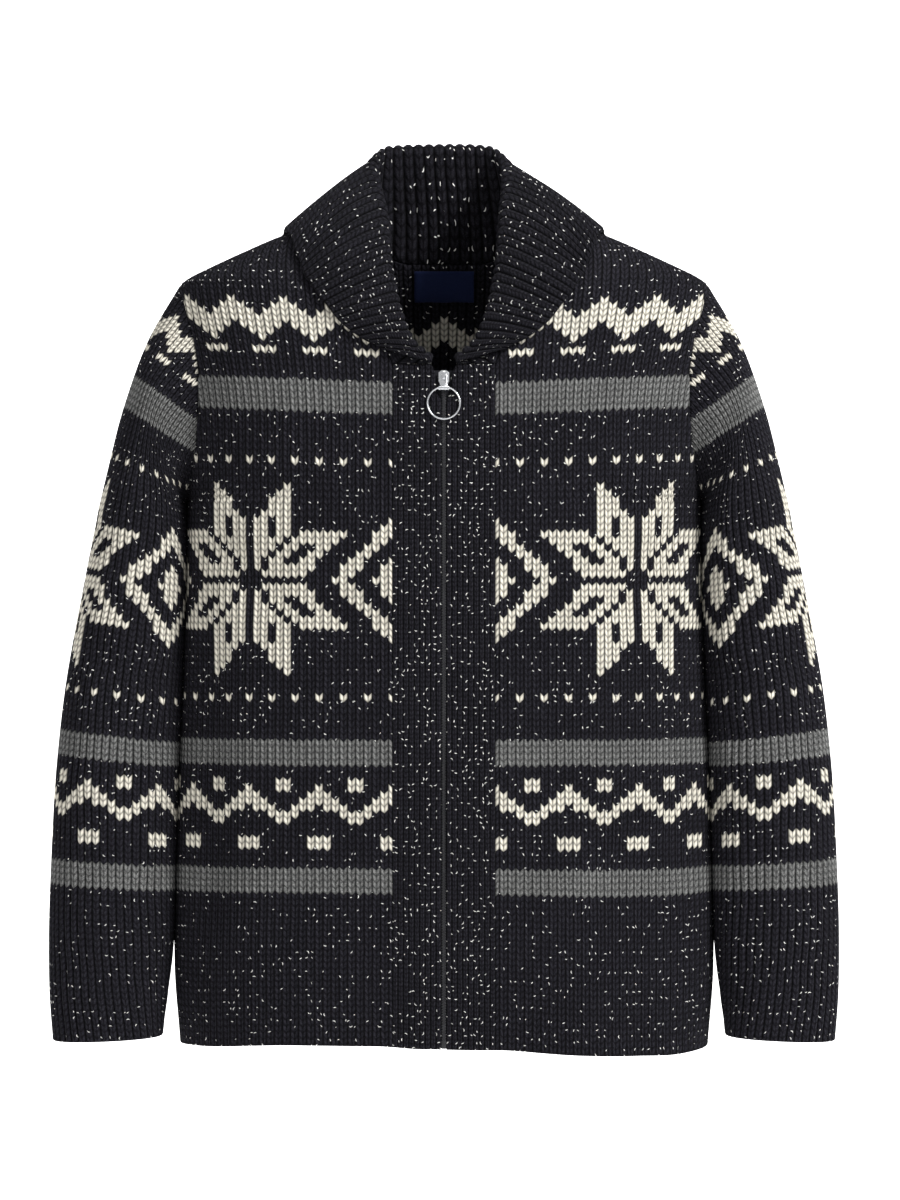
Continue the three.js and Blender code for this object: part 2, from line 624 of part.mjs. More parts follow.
// A round wire ring, straight where it passes through the barrel.
function ringPiece() {
  const half = Math.asin(RING.straight / RING.radius);
  const middle = -RING.radius * Math.cos(half);
  const arc = steps(Math.PI / 2 - half, Math.PI / 2 + half - 2 * Math.PI, RING.arcSteps)
    .map((turn) => new THREE.Vector3(RING.radius * Math.cos(turn), middle + RING.radius * Math.sin(turn), 0));
  const count = RING.wireSides;
  const positions = [];
  const index = [];
  arc.forEach((p, i) => {
    const before = arc[(i + arc.length - 1) % arc.length];
    const after = arc[(i + 1) % arc.length];
    const forward = after.clone().sub(p).normalize().add(p.clone().sub(before).normalize()).normalize();
    const side = new THREE.Vector3(-forward.y, forward.x, 0);
    for (let j = 0; j < count; j += 1) {
      const turn = (2 * Math.PI * j) / count;
      const place = p.clone().addScaledVector(side, RING.wire * Math.cos(turn));
      positions.push(place.x, place.y, RING.wire * Math.sin(turn));
      const a = i * count + j;
      const b = i * count + ((j + 1) % count);
      const c = ((i + 1) % arc.length) * count + j;
      const d = ((i + 1) % arc.length) * count + ((j + 1) % count);
      index.push(a, b, d, a, d, c);
    }
  });
  const geometry = new THREE.BufferGeometry();
  geometry.setAttribute('position', new THREE.Float32BufferAttribute(positions, 3));
  geometry.setIndex(index);
  return geometry;
}

// ---------------------------------------------------------------- neck label
const LABEL = { width: 54, top: -22.5, bottom: -50, gap: 0.9, thick: 0.8 };

function labelPiece() {
  const patch = new Patch();
  patch.grid(steps(LABEL.bottom, LABEL.top, 3).map((z) => (
    steps(LABEL.width / 2, -LABEL.width / 2, 6).map((x) => {
      const turn = angleAtX(x, z, true);
      const angle = x < 0 ? 360 - turn : turn;
      const outer = wallAt(angle, z, WALL + LABEL.gap).inner;
      const inner = wallAt(angle, z, WALL + LABEL.gap + LABEL.thick).inner;
      return { outer, inner };
    }))));
  return patch.geometry();
}

// ---------------------------------------------------------------- the garment
const knit = new THREE.MeshStandardMaterial({ color: 0x1e1d22, roughness: 0.95, metalness: 0 });
const tape = new THREE.MeshStandardMaterial({ color: 0x121215, roughness: 0.85, metalness: 0 });
const silver = new THREE.MeshStandardMaterial({ color: 0xc9cbce, roughness: 0.25, metalness: 1 });
const navy = new THREE.MeshStandardMaterial({ color: 0x1b2547, roughness: 0.8, metalness: 0 });

const garment = new THREE.Group();
function add(name, geometry, material, parent = garment) {
  const mesh = new THREE.Mesh(geometry, material);
  mesh.name = name;
  parent.add(mesh);
  return mesh;
}

add('back', backPiece(), knit);
for (const [name, side] of [['left', -1], ['right', 1]]) {
  add(`front_${name}`, frontPiece(side), knit);
  add(`band_${name}`, bandPiece(side), knit);
  add(`sleeve_${name}`, sleevePiece(side), knit);
  add(`zip_tape_${name}`, tapePiece(side), tape);
}
add('shawl_collar', collarPiece(), knit);
add('neck_label', labelPiece(), navy);

const zip = new THREE.Group();
zip.position.copy(seat);
zip.rotation.x = Math.PI / 2 - lean;
garment.add(zip);
add('zip_slider', sliderPiece(), silver, zip);
add('pull_tab', tabPiece(), silver, zip).position.set(0, HINGE.above, HINGE.out);
add('pull_ring', ringPiece(), silver, zip).position.set(0, HINGE.above - TAB.length, HINGE.out);

export default garment;
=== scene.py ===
import math

import bpy
import numpy as np
from mathutils import Matrix, Vector
from mathutils.kdtree import KDTree


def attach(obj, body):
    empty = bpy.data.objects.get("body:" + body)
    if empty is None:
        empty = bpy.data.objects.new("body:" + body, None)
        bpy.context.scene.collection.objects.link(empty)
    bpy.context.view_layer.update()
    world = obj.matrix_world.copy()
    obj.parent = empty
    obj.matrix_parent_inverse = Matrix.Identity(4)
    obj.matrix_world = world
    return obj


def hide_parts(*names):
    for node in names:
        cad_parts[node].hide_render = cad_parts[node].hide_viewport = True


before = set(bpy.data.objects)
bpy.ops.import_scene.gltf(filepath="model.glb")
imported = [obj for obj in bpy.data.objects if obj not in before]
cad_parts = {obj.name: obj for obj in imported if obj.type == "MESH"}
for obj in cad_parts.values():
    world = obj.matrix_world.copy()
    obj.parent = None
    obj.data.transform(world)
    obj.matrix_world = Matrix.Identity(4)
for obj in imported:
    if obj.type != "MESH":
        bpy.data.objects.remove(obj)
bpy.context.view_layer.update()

MM = 0.001

# ---------------------------------------------------------------- knit and sizes, in millimetres
WALL = 3.6            # thickness of the bulky knit
COLLAR_WALL = 4.4
SEAM = 0.4            # gap at the armhole
BUTT = -0.25          # edges sewn side by side just meet
HEM_Z = -713
UNDERARM_Z = -233
TIP_Z = -42
NECK_POINT_Z = 20
BACK_NECK_Z = -18
BAND_TOP_Z = -118
BAND_OUTER = 44.5
BAND_INNER = 2.1
PLAN_POWER = 2.4
ARMHOLE_HALF_DEPTH = 52
ARMHOLE_ROUNDNESS = 0.9
SLEEVE_ROUNDNESS = 0.92
EDGE_LIFT = 3.4

WALE = 7.1            # from one rib to the next on the body and sleeves
COURSE = 5.6          # from one row of stitches to the next
COLLAR_RIB = 9.3
COLLAR_COURSE = 5.0
BAND_RIB = 4.7
BAND_COURSE = 4.1
RIB_DEPTH = 2.0

# Plan of the body: height, half width, reach to the front and back, middle of the side.
HALF, FRONT, BACK, MIDDLE = 1, 2, 3, 4
BODY = np.array([
    (-713, 234, 103, 98, 4), (-640, 239, 107, 102, 4), (-500, 236, 106, 103, 4),
    (-380, 231, 106, 104, 4), (-290, 228, 107, 106, 5), (-233, 228, 107, 107, 6),
    (-160, 233, 102, 106, 7), (-100, 237, 93, 99, 8), (-62, 239, 84, 88, 8),
    (-50, 237.5, 80, 84, 8), (-42, 234, 76, 80, 8), (-36, 226, 73, 78, 8),
    (-28, 210, 69, 75, 8), (-20, 193, 65, 71, 8), (-3, 155, 55, 63, 8),
    (10, 122, 47, 56, 8), (20, 96, 41, 49, 8)], float)
FRONT_NECK = np.array([(-118, 44.9), (-85, 57), (-50, 72), (-20, 82), (20, 90)], float)
BACK_NECK = np.array([(-18, 34), (-10, 60), (2, 76), (20, 90)], float)
BAND_EDGE = np.array([(-713, 2.1), (-150, 2.1), (-143, 6.2), (-128, 6.2), (-118, 11)], float)

# Sleeve sections: outer x and z, inner x and z in the front view, half girth, middle of the girth.
SLEEVE = np.array([
    (263, -92, 232.5, -236.5, 59, 7), (284, -150, 232, -250, 63, 6), (298, -205, 230.5, -274, 64, 5),
    (309, -255, 230, -302, 63, 4), (322, -322, 231.5, -350, 60, 1), (335, -396, 234, -414, 57, -3),
    (343, -470, 236.5, -480, 53, -7), (347, -545, 238.5, -550, 49, -11), (349, -620, 240.5, -620, 45, -15),
    (348, -672, 244, -670, 41, -18), (345, -710, 248, -706, 38, -20)], float)

# The collar's fold from the middle of the back (0) to its end on the band (1): x, y, z, radius of the roll.
COLLAR_FOLD = np.array([
    (0.0, 0, 60, 87, 8), (0.1, 25, 59, 87, 8), (0.2, 45, 52, 85, 8), (0.28, 53, 38, 76, 7.5),
    (0.34, 54, 22, 61, 7), (0.42, 52, -2, 36, 6.5), (0.52, 51, -28, 2, 6.5), (0.62, 49, -50, -31, 6),
    (0.73, 43, -68, -61, 5), (0.82, 35, -80, -84, 4.2), (0.9, 25, -88, -101, 3.4),
    (1.0, 9, -96, -112.5, 2.8)], float)
# The free edge as a place on the body, angle and height, and how far the fall bows out above it.
COLLAR_EDGE = np.array([
    (0.0, 180, -34, 7), (0.16, 165, -31, 7), (0.26, 146, -20, 7), (0.34, 120, -5, 5), (0.42, 88, 3, 3.6),
    (0.5, 58, -3, 4.6), (0.6, 38, -20, 7), (0.7, 28, -38, 7.6), (0.8, 22, -62, 6.5), (0.88, 18, -82, 5),
    (0.94, 13, -98, 3), (1.0, 9, -106, 2)], float)

# How far the inner side of a sleeve is pressed towards the body, by height.
SLEEVE_PRESS = np.array([
    (-713, 0), (-690, 0), (-655, 1.0), (-625, 2.2), (-560, 2.2), (-480, 2.2), (-414, 2.4), (-350, 2.7),
    (-302, 3.0), (-274, 3.8), (-250, 5.0), (-236, 5.0), (-222, 4.0), (-205, 1.5), (-190, 0)], float)

# Where the hem hangs lower: middle across the width, half width and depth.
HEM_SAGS = [(150, 85, 9), (-215, 40, 2)]
SAG_HEIGHT = 230      # how far up the sag reaches
SIDE_SWELL = 0.75
COLLAR_LEAN = 4.5

# How far the hem rides up in front, across the width.
HEM_LIFT = np.array([
    (-250, 0), (-236, 1.5), (-191, 3.5), (-125, 6), (-60, 5.6), (-20, 3.6), (20, 3.6), (60, 5), (120, 5),
    (165, 3.5), (209, 0), (250, 0)], float)

# How far the rows of a sleeve slope down towards the body, by height at the outer edge.
ROW_SLOPE = np.array([
    (-711, 0.02), (-520, 0.07), (-430, 0.12), (-330, 0.18), (-240, 0.27), (-200, 0.42), (-140, 0.68),
    (-60, 0.8)], float)

# Soft folds: both ends in the front view, half width, and depth (a ridge is negative).
FRONT_FOLDS = [
    (-50, -540, -46, -740, 26, 3.4), (-150, -590, -138, -740, 38, -3.0), (-205, -320, -208, -650, 17, 3.2),
    (-212, -262, -128, -338, 17, 2.6), (-96, -250, -84, -420, 24, 1.8), (-120, -120, -150, -230, 22, -1.6),
    (104, -560, 98, -740, 36, -3.6), (160, -500, 172, -740, 30, 3.6), (214, -300, 206, -600, 18, 2.8),
    (212, -256, 140, -345, 18, 3.0), (84, -300, 92, -480, 26, 2.2), (150, -118, 165, -226, 24, -2.0),
    (0, -420, 4, -600, 34, -1.6)]
BACK_FOLDS = [
    (-60, -560, -72, -740, 34, 3.6), (20, -600, 14, -740, 36, -3.2), (96, -540, 110, -740, 30, 3.6),
    (-160, -610, -168, -740, 30, -3.0), (-190, -260, -110, -360, 24, 3.2), (188, -268, 96, -352, 22, 3.0),
    (-40, -90, -120, -160, 26, 2.0), (52, -96, 128, -176, 24, 2.2), (-10, -300, 8, -500, 40, -2.2)]
SLEEVE_FOLDS = [
    (240, -352, 304, -318, 13, 2.6), (238, -398, 318, -366, 14, 3.2), (240, -446, 306, -428, 13, 2.4),
    (330, -470, 262, -520, 18, -2.4), (246, -586, 330, -560, 17, 2.6), (252, -650, 340, -640, 15, 2.2),
    (262, -208, 296, -262, 17, -2.2), (252, -270, 300, -296, 13, 2.2)]


# ---------------------------------------------------------------- objects
def new_piece(name, mesh):
    piece = bpy.data.objects.new(name, mesh)
    bpy.context.collection.objects.link(piece)
    return piece


def open_mesh(piece):
    """Goes into Edit Mode on one piece, with all of its mesh selected."""
    bpy.ops.object.select_all(action="DESELECT")
    piece.select_set(True)
    bpy.context.view_layer.objects.active = piece
    bpy.ops.object.mode_set(mode="EDIT")
    bpy.ops.mesh.select_all(action="SELECT")


# ---------------------------------------------------------------- reading the tables
def smooth(table, column, place):
    """One column of a table at each place along its first, on a smooth curve that never overshoots."""
    x, y = table[:, 0], table[:, column]
    slope = np.diff(y) / np.diff(x)
    before, after = slope[:-1], slope[1:]
    same = before * after > 0
    inner = np.where(same, 2 * before * after / np.where(same, before + after, 1), 0)
    tangent = np.concatenate([slope[:1], inner, slope[-1:]])
    place = np.clip(place, x[0], x[-1])
    i = np.clip(np.searchsorted(x, place, side="right") - 1, 0, len(x) - 2)
    width = x[i + 1] - x[i]
    t = (place - x[i]) / width
    ease = t * t * (3 - 2 * t)
    return (y[i] + (y[i + 1] - y[i]) * ease
            + width * t * (1 - t) * ((1 - t) * tangent[i] - t * tangent[i + 1]))


def signed_power(value, exponent):
    return np.sign(value) * np.abs(value) ** exponent


def ramp(value, low, high):
    t = np.clip((value - low) / (high - low), 0, 1)
    return t * t * (3 - 2 * t)


def unit(v):
    return v / np.maximum(np.linalg.norm(v, axis=-1, keepdims=True), 1e-9)


# ---------------------------------------------------------------- the body's surface
# Angle 0 is the middle of the front, 90 the side at +X, 180 the middle of the back.
def reach(z, behind):
    middle = smooth(BODY, MIDDLE, z)
    return np.where(behind, smooth(BODY, BACK, z) - middle, smooth(BODY, FRONT, z) + middle)


def body_point(angle, z):
    turn = np.radians(angle)
    x = smooth(BODY, HALF, z) * signed_power(np.sin(turn), 2 / PLAN_POWER)
    y = smooth(BODY, MIDDLE, z) - reach(z, np.cos(turn) < 0) * signed_power(np.cos(turn), 2 / PLAN_POWER)
    return np.stack(np.broadcast_arrays(x, y, z), axis=-1)


def body_normal(angle, z):
    low, high = np.maximum(z - 3, HEM_Z), np.minimum(z + 3, NECK_POINT_Z)
    round_way = body_point(angle + 0.5, z) - body_point(angle - 0.5, z)
    rise = body_point(angle, high) - body_point(angle, low)
    return unit(np.cross(round_way, rise))


def angle_at_x(x, z, behind):
    ratio = np.minimum(np.abs(x) / smooth(BODY, HALF, z), 1)
    turn = np.degrees(np.arcsin(ratio ** (PLAN_POWER / 2)))
    return 180 - turn if behind else turn


def side_angle(z, behind):
    """Where the front or back ends: side seam, armhole or shoulder seam."""
    cosine = np.clip((z - (TIP_Z + UNDERARM_Z) / 2) / ((TIP_Z - UNDERARM_Z) / 2), -1, 1)
    depth = ARMHOLE_HALF_DEPTH * np.sqrt(1 - cosine * cosine) ** ARMHOLE_ROUNDNESS
    turn = np.degrees(np.arccos((depth / reach(z, behind)) ** (PLAN_POWER / 2)))
    span = np.linalg.norm(body_point(91.0, z) - body_point(89.0, z), axis=-1) / 2
    seam = 90 - np.minimum(BUTT / 2 / span, 3)
    turn = np.minimum(turn, seam)
    return 180 - turn if behind else turn


def climb(z, behind):
    """Length of cloth from the hem up to a height, over the middle of the front or back."""
    levels = np.linspace(HEM_Z, NECK_POINT_Z, 300)
    run = np.diff(reach(levels, behind))
    length = np.concatenate([[0], np.cumsum(np.hypot(np.diff(levels), run))])
    return np.interp(z, levels, length)


def round_body(z, start, stop):
    """Angles from start to stop at each height, with the distance round the body to each."""
    t = np.linspace(0, 1, 700)
    angles = start[:, None] + (stop - start)[:, None] * t
    steps = np.linalg.norm(np.diff(body_point(angles, z[:, None]), axis=1), axis=-1)
    return angles, np.concatenate([np.zeros((len(z), 1)), np.cumsum(steps, axis=1)], axis=1)


def rows_interp(wanted, known, values):
    return np.array([np.interp(w, k, v) for w, k, v in zip(wanted, known, values)])


CLOSE = np.array([0, 0.12, 0.45])   # rows within a rolled edge, in edge radii


def spread(length, count, edge=WALL / 2):
    """Places along a length: close together in the rolled edges, even between them."""
    length = np.asarray(length, float)[..., None]
    even = edge + (length - 2 * edge) * np.linspace(0, 1, count - 6)
    return np.concatenate([CLOSE * edge + 0 * length, even, length - CLOSE[::-1] * edge], axis=-1)


# ---------------------------------------------------------------- folds and ribs
def fold_depth(x, z, folds):
    total = np.zeros(np.broadcast(x, z).shape)
    for ax, az, bx, bz, half, depth in folds:
        dx, dz = bx - ax, bz - az
        t = ((x - ax) * dx + (z - az) * dz) / (dx * dx + dz * dz)
        away = ((x - ax) * dz - (z - az) * dx) / math.hypot(dx, dz)
        along = np.exp(-2.2 * np.maximum(np.abs(2 * t - 1) - 0.55, 0) ** 2 / 0.2)
        total = total + depth * along * np.exp(-(away / half) ** 2)
    return total


def body_folds(p):
    x, y, z = p[..., 0], p[..., 1], p[..., 2]
    front = ramp(-y, -10, 30)
    back = ramp(y, -10, 30)
    fade = 1 - ramp(z, -118, -90)
    return (fold_depth(x, z, FRONT_FOLDS) * front + fold_depth(x, z, BACK_FOLDS) * back) * fade


def sag(p):
    """The hem hangs lower on one side, and the sides swell a little towards the sleeves."""
    x, y, z = p[..., 0], p[..., 1], p[..., 2]
    low = sum(np.exp(-((x - middle) / half) ** 2) * depth for middle, half, depth in HEM_SAGS)
    low = low - smooth(HEM_LIFT, 1, x) * (1 - ramp(y, -40, 10))
    out = p.copy()
    out[..., 2] -= low * (1 - ramp(z, HEM_Z, HEM_Z + SAG_HEIGHT))
    beside = ramp(z, -660, -600) * (1 - ramp(z, -262, -240)) * ramp(np.abs(x), 200, 226)
    out[..., 0] += np.sign(x) * SIDE_SWELL * beside * np.exp(-((y - 4) / 40) ** 2)
    return out


def towards_body(p):
    """The sleeves lie close against the sides."""
    x, z = p[..., 0], p[..., 2]
    out = p.copy()
    out[..., 0] -= np.sign(x) * smooth(SLEEVE_PRESS, 1, z) * (1 - ramp(np.abs(x), 246, 282))
    return out


def rib(count, depth, sharp=2.4):
    """Depth below the crest of a rib; whole numbers are the grooves."""
    return depth * np.abs(2 * (count % 1) - 1) ** sharp


# ---------------------------------------------------------------- closed walls of cloth
def shell(name, skin, wall, uv, ribs, inner_ribs=None, valid=None, wrap=False, step=(3, 3), moved=None,
          centred=False, folds=None, top_normal=None):
    """A closed wall from rows of points on its outer skin, with rolled edges and ribs as relief.

    Rows run upwards and columns from left to right, seen from outside. The inner skin takes every
    step-th row and column, and its border cells take in all points of the edge."""
    rows, columns = skin.shape[:2]
    cells = columns if wrap else columns - 1
    valid = np.ones((rows - 1, cells), bool) if valid is None else valid
    if wrap:
        wide = np.concatenate([skin[:, -2:], skin, skin[:, :2]], axis=1)
        across, up = np.gradient(wide, axis=1)[:, 2:-2], np.gradient(skin, axis=0)
    else:
        across, up = np.gradient(skin, axis=1), np.gradient(skin, axis=0)
    normal = unit(np.cross(across, up))
    if top_normal is not None:
        down = np.linalg.norm(skin - skin[-1], axis=-1)[..., None]
        normal = unit(normal + (top_normal - normal) * np.exp(-(down / 5) ** 2))
    if folds is not None:
        skin = skin - normal * folds(skin)[..., None]
    middle = skin if centred else skin - normal * wall / 2

    padded = np.zeros((rows + 1, cells + 2), bool)
    padded[1:-1, 1:-1] = valid
    if wrap:
        padded[:, 0], padded[:, -1] = padded[:, -2], padded[:, 1]
    full = padded[:-1, :-1] & padded[1:, :-1] & padded[:-1, 1:] & padded[1:, 1:]
    used = padded[:-1, :-1] | padded[1:, :-1] | padded[:-1, 1:] | padded[1:, 1:]
    border = (used & ~full)[:, :columns]

    edge = KDTree(int(border.sum()))
    for i, point in enumerate(middle[border]):
        edge.insert(point, i)
    edge.balance()
    distance = np.array([edge.find(p)[2] for p in middle.reshape(-1, 3)]).reshape(rows, columns)
    near = np.clip(distance / (wall / 2), 0, 1)
    thick = np.sqrt(np.maximum(1 - (1 - near) ** 2, 0))
    thick[border] = 0
    outer = middle + normal * ((wall / 2 - ribs) * thick)[..., None]
    hollow = np.zeros_like(ribs) if inner_ribs is None else inner_ribs
    inner = middle - normal * ((wall / 2 - hollow) * thick)[..., None]
    if moved is not None:
        outer, inner = moved(outer), moved(inner)

    unrolled = cells + 1
    node = np.arange(rows * columns).reshape(rows, columns)
    if wrap:
        node = np.concatenate([node, node[:, :1]], axis=1)
    flat_uv = uv.reshape(-1, 2)

    def picks(count, by):
        breaks = {0, count}
        breaks.update(k for k in range(0, count, by) if k >= 4 and k <= count - 4)
        breaks.update((2, count - 2))
        return breaks

    row_picks, column_picks = picks(rows - 1, step[0]), picks(cells, step[1])
    holes = np.argwhere(padded[1:-1, 1:-1][1:] != padded[1:-1, 1:-1][:-1])
    row_picks.update(int(r) + 1 for r in holes[:, 0])
    sides = np.argwhere(valid[:, 1:] != valid[:, :-1])
    column_picks.update(int(c) + 1 for c in sides[:, 1])
    row_picks, column_picks = sorted(row_picks), sorted(column_picks)

    inside = {}
    points = list(outer.reshape(-1, 3))
    is_border = np.concatenate([border, border[:, :1]], axis=1) if wrap else border

    def inner_id(r, c):
        if is_border[r, c]:
            return int(node[r, c])
        key = int(node[r, c])
        if key not in inside:
            inside[key] = len(points)
            points.append(inner.reshape(-1, 3)[key])
        return inside[key]

    r, c = np.nonzero(valid)
    quads = np.stack([node[r, c], node[r, c + 1], node[r + 1, c + 1], node[r + 1, c]], axis=1)
    quad_refs = np.stack([r * unrolled + c, r * unrolled + c + 1, (r + 1) * unrolled + c + 1,
                          (r + 1) * unrolled + c], axis=1)
    faces, refs = quads.tolist(), quad_refs.tolist()
    for r0, r1 in zip(row_picks, row_picks[1:]):
        for c0, c1 in zip(column_picks, column_picks[1:]):
            if not valid[r0, c0]:
                continue
            below = r0 == 0 or not valid[r0 - 1, c0]
            above = r1 == rows - 1 or not valid[r1, c0]
            left = not wrap and c0 == 0 or (c0 > 0 and not valid[r0, c0 - 1])
            right = not wrap and c1 == cells or (c1 < cells and not valid[r0, c1])
            ring = [(r0, k) for k in (range(c0, c1) if below else (c0,))]
            ring += [(k, c1) for k in (range(r0, r1) if right else (r0,))]
            ring += [(r1, k) for k in (range(c1, c0, -1) if above else (c1,))]
            ring += [(k, c0) for k in (range(r1, r0, -1) if left else (r1,))]
            ring.reverse()
            faces.append([inner_id(a, b) for a, b in ring])
            refs.append([a * unrolled + b for a, b in ring])

    used_ids = sorted({i for face in faces for i in face})
    renumber = {old: new for new, old in enumerate(used_ids)}
    mesh = bpy.data.meshes.new(name)
    mesh.from_pydata([tuple(points[i] * MM) for i in used_ids], [],
                     [[renumber[i] for i in face] for face in faces])
    knit = mesh.uv_layers.new(name="Knit")
    order = np.concatenate([np.asarray(ref) for ref in refs])
    knit.data.foreach_set("uv", flat_uv[order].astype(np.float32).ravel())
    mesh.polygons.foreach_set("use_smooth", np.ones(len(faces), bool))
    mesh.update()
    return new_piece(name, mesh)


def mirror(grid):
    """A grid of points turned over to the other side, with its columns back in order."""
    flipped = grid[:, ::-1].copy()
    flipped[..., 0] *= -1
    return flipped


def dense(count):
    return count


# ---------------------------------------------------------------- fronts
def body_levels(stop):
    low = HEM_Z + CLOSE * WALL / 2
    main = np.arange(HEM_Z + WALL / 2, -66, 6.0)
    upper = np.arange(-64, stop - 1.9, 2.6)
    top = stop - CLOSE[::-1] * WALL / 2 * 0.5
    return np.concatenate([low, main, upper, top])


def fan(z):
    """Ribs fan out a little towards the shoulders."""
    return 1 + 0.17 * ramp(z, -170, -10)


def row_lift(p):
    """Rows rise towards the shoulders."""
    return 1.9 * (np.abs(p[..., 0]) / 220) ** 1.4 * ramp(p[..., 2], -360, -100)


def front_inner(z):
    x = np.where(z <= BAND_TOP_Z, BAND_OUTER + BUTT, smooth(FRONT_NECK, 1, z))
    return angle_at_x(x, z, False)


def make_front(side):
    z = body_levels(NECK_POINT_Z)
    angles, lengths = round_body(z, angle_at_x(BAND_OUTER + BUTT, z, False), side_angle(z, False))
    start = rows_interp(front_inner(z)[:, None], angles, lengths)[:, 0]
    s = start[:, None] + spread(lengths[:, -1] - start, dense(250))
    skin = body_point(rows_interp(s, lengths, angles), z[:, None])
    wale = s / (WALE * fan(z[:, None]))
    course = climb(z, False)[:, None] / COURSE - row_lift(skin)
    uv = np.stack([wale - 17.5, course], axis=-1)
    if side < 0:
        skin, uv = mirror(skin), uv[:, ::-1].copy()
    name = "front_panel_" + ("right" if side > 0 else "left")
    return shell(name, skin, WALL, uv, rib(uv[..., 0] + 0.5, RIB_DEPTH), moved=sag, folds=body_folds)


# ---------------------------------------------------------------- back
def make_back():
    below = body_levels(BACK_NECK_Z)
    above = np.arange(BACK_NECK_Z + 2.6, NECK_POINT_Z - 2, 2.6)
    z = np.concatenate([below, above, NECK_POINT_Z - CLOSE[::-1] * WALL / 2 * 0.5])
    neck_row = len(below) - 1
    centre = np.full(len(z), 180.0)
    angles, lengths = round_body(z, side_angle(z, True), centre)
    neck = angle_at_x(smooth(BACK_NECK, 1, np.maximum(z, BACK_NECK_Z)), z, True)
    inner = rows_interp(neck[:, None], angles, lengths)[:, 0]
    side_columns = spread(inner, dense(200))
    middle_columns = inner[:, None] + (lengths[:, -1] - inner)[:, None] * np.linspace(0, 1, 34)[1:]
    s = np.concatenate([side_columns, middle_columns], axis=1)
    half = body_point(rows_interp(s, lengths, angles), z[:, None])
    wale = (lengths[:, -1:] - s) / (WALE * fan(z[:, None]))
    skin = np.concatenate([half, mirror(half)[:, 1:]], axis=1)
    wales = np.concatenate([wale, -wale[:, -2::-1]], axis=1)
    course = climb(z, True)[:, None] / COURSE - row_lift(skin)
    valid = np.ones((len(z) - 1, skin.shape[1] - 1), bool)
    first, last = side_columns.shape[1] - 1, skin.shape[1] - side_columns.shape[1]
    valid[neck_row:, first:last] = False
    uv = np.stack([wales + 18.5, course], axis=-1)
    return shell("back_panel", skin, WALL, uv, rib(uv[..., 0] + 0.5, RIB_DEPTH), valid=valid, step=(2, 2),
                 moved=sag, folds=body_folds)


# ---------------------------------------------------------------- bands beside the zip
def make_band(side):
    z = HEM_Z + spread(BAND_TOP_Z - HEM_Z, dense(130))
    inner = np.interp(z, BAND_EDGE[:, 0], BAND_EDGE[:, 1])
    s = spread(BAND_OUTER - inner, dense(74))
    x = inner[:, None] + s
    skin = body_point(angle_at_x(x, z[:, None], False), z[:, None])
    uv = np.stack([(x - BAND_INNER) / BAND_RIB, climb(z, False)[:, None] / BAND_COURSE + 0 * x], axis=-1)
    if side < 0:
        skin, uv = mirror(skin), uv[:, ::-1].copy()
    name = "zip_band_" + ("right" if side > 0 else "left")
    return shell(name, skin, WALL, uv, rib(uv[..., 0], 1.2), moved=sag, folds=body_folds)


# ---------------------------------------------------------------- sleeves
def armhole_loop(turn):
    middle = (TIP_Z + UNDERARM_Z) / 2
    z = middle + (TIP_Z - UNDERARM_Z) / 2 * np.cos(np.radians(turn))
    behind = turn % 360 > 180
    angle = np.where(behind, side_angle(z, True), side_angle(z, False))
    p = body_point(angle, z)
    clear = np.stack([0 * z, smooth(BODY, MIDDLE, z) - p[..., 1], middle - z], axis=-1)
    return p + unit(clear) * BUTT, body_normal(angle, z)


def sleeve_section(row, turn):
    angle = np.radians(turn)[:, None]
    half = np.array([(row[0] - row[2]) / 2, 0, (row[1] - row[3]) / 2])
    centre = np.array([(row[0] + row[2]) / 2, row[5], (row[1] + row[3]) / 2])
    girth = np.array([0, -row[4], 0])
    across = signed_power(np.cos(angle), SLEEVE_ROUNDNESS)
    return centre + half * across + girth * signed_power(np.sin(angle), SLEEVE_ROUNDNESS)


def through_rings(rings, count):
    """Rows on a smooth curve through rings of points, evenly spaced along the sleeve."""
    gaps = np.linalg.norm(np.diff(rings, axis=0), axis=-1).mean(axis=1)
    knots = np.concatenate([[0], np.cumsum(gaps)])
    tangent = np.gradient(rings, knots, axis=0)
    place = spread(knots[-1], count)
    i = np.clip(np.searchsorted(knots, place, side="right") - 1, 0, len(knots) - 2)
    width = (knots[i + 1] - knots[i])[:, None, None]
    t = ((place - knots[i]) / (knots[i + 1] - knots[i]))[:, None, None]
    return ((2 * t ** 3 - 3 * t ** 2 + 1) * rings[i] + (t ** 3 - 2 * t ** 2 + t) * width * tangent[i]
            + (3 * t ** 2 - 2 * t ** 3) * rings[i + 1] + (t ** 3 - t ** 2) * width * tangent[i + 1])


def outer_level(x, z):
    """Height at the sleeve's outer edge of the row of stitches through each point."""
    order = np.argsort(SLEEVE[:, 1])
    level = z.copy()
    for _ in range(12):
        out_x = np.interp(level, SLEEVE[order, 1], SLEEVE[order, 0])
        level = z + smooth(ROW_SLOPE, 1, level) * (out_x - np.abs(x))
    return level


def sleeve_folds(p):
    x, y, z = np.abs(p[..., 0]), p[..., 1], p[..., 2]
    front = fold_depth(x, z, SLEEVE_FOLDS)
    back = fold_depth(x, z + 26, SLEEVE_FOLDS[::-1]) * 0.9
    side = ramp(-y, -25, 25)
    away = ramp(x, 236, 256) * (1 - ramp(z, -150, -110))
    return (front * side + back * (1 - side)) * away


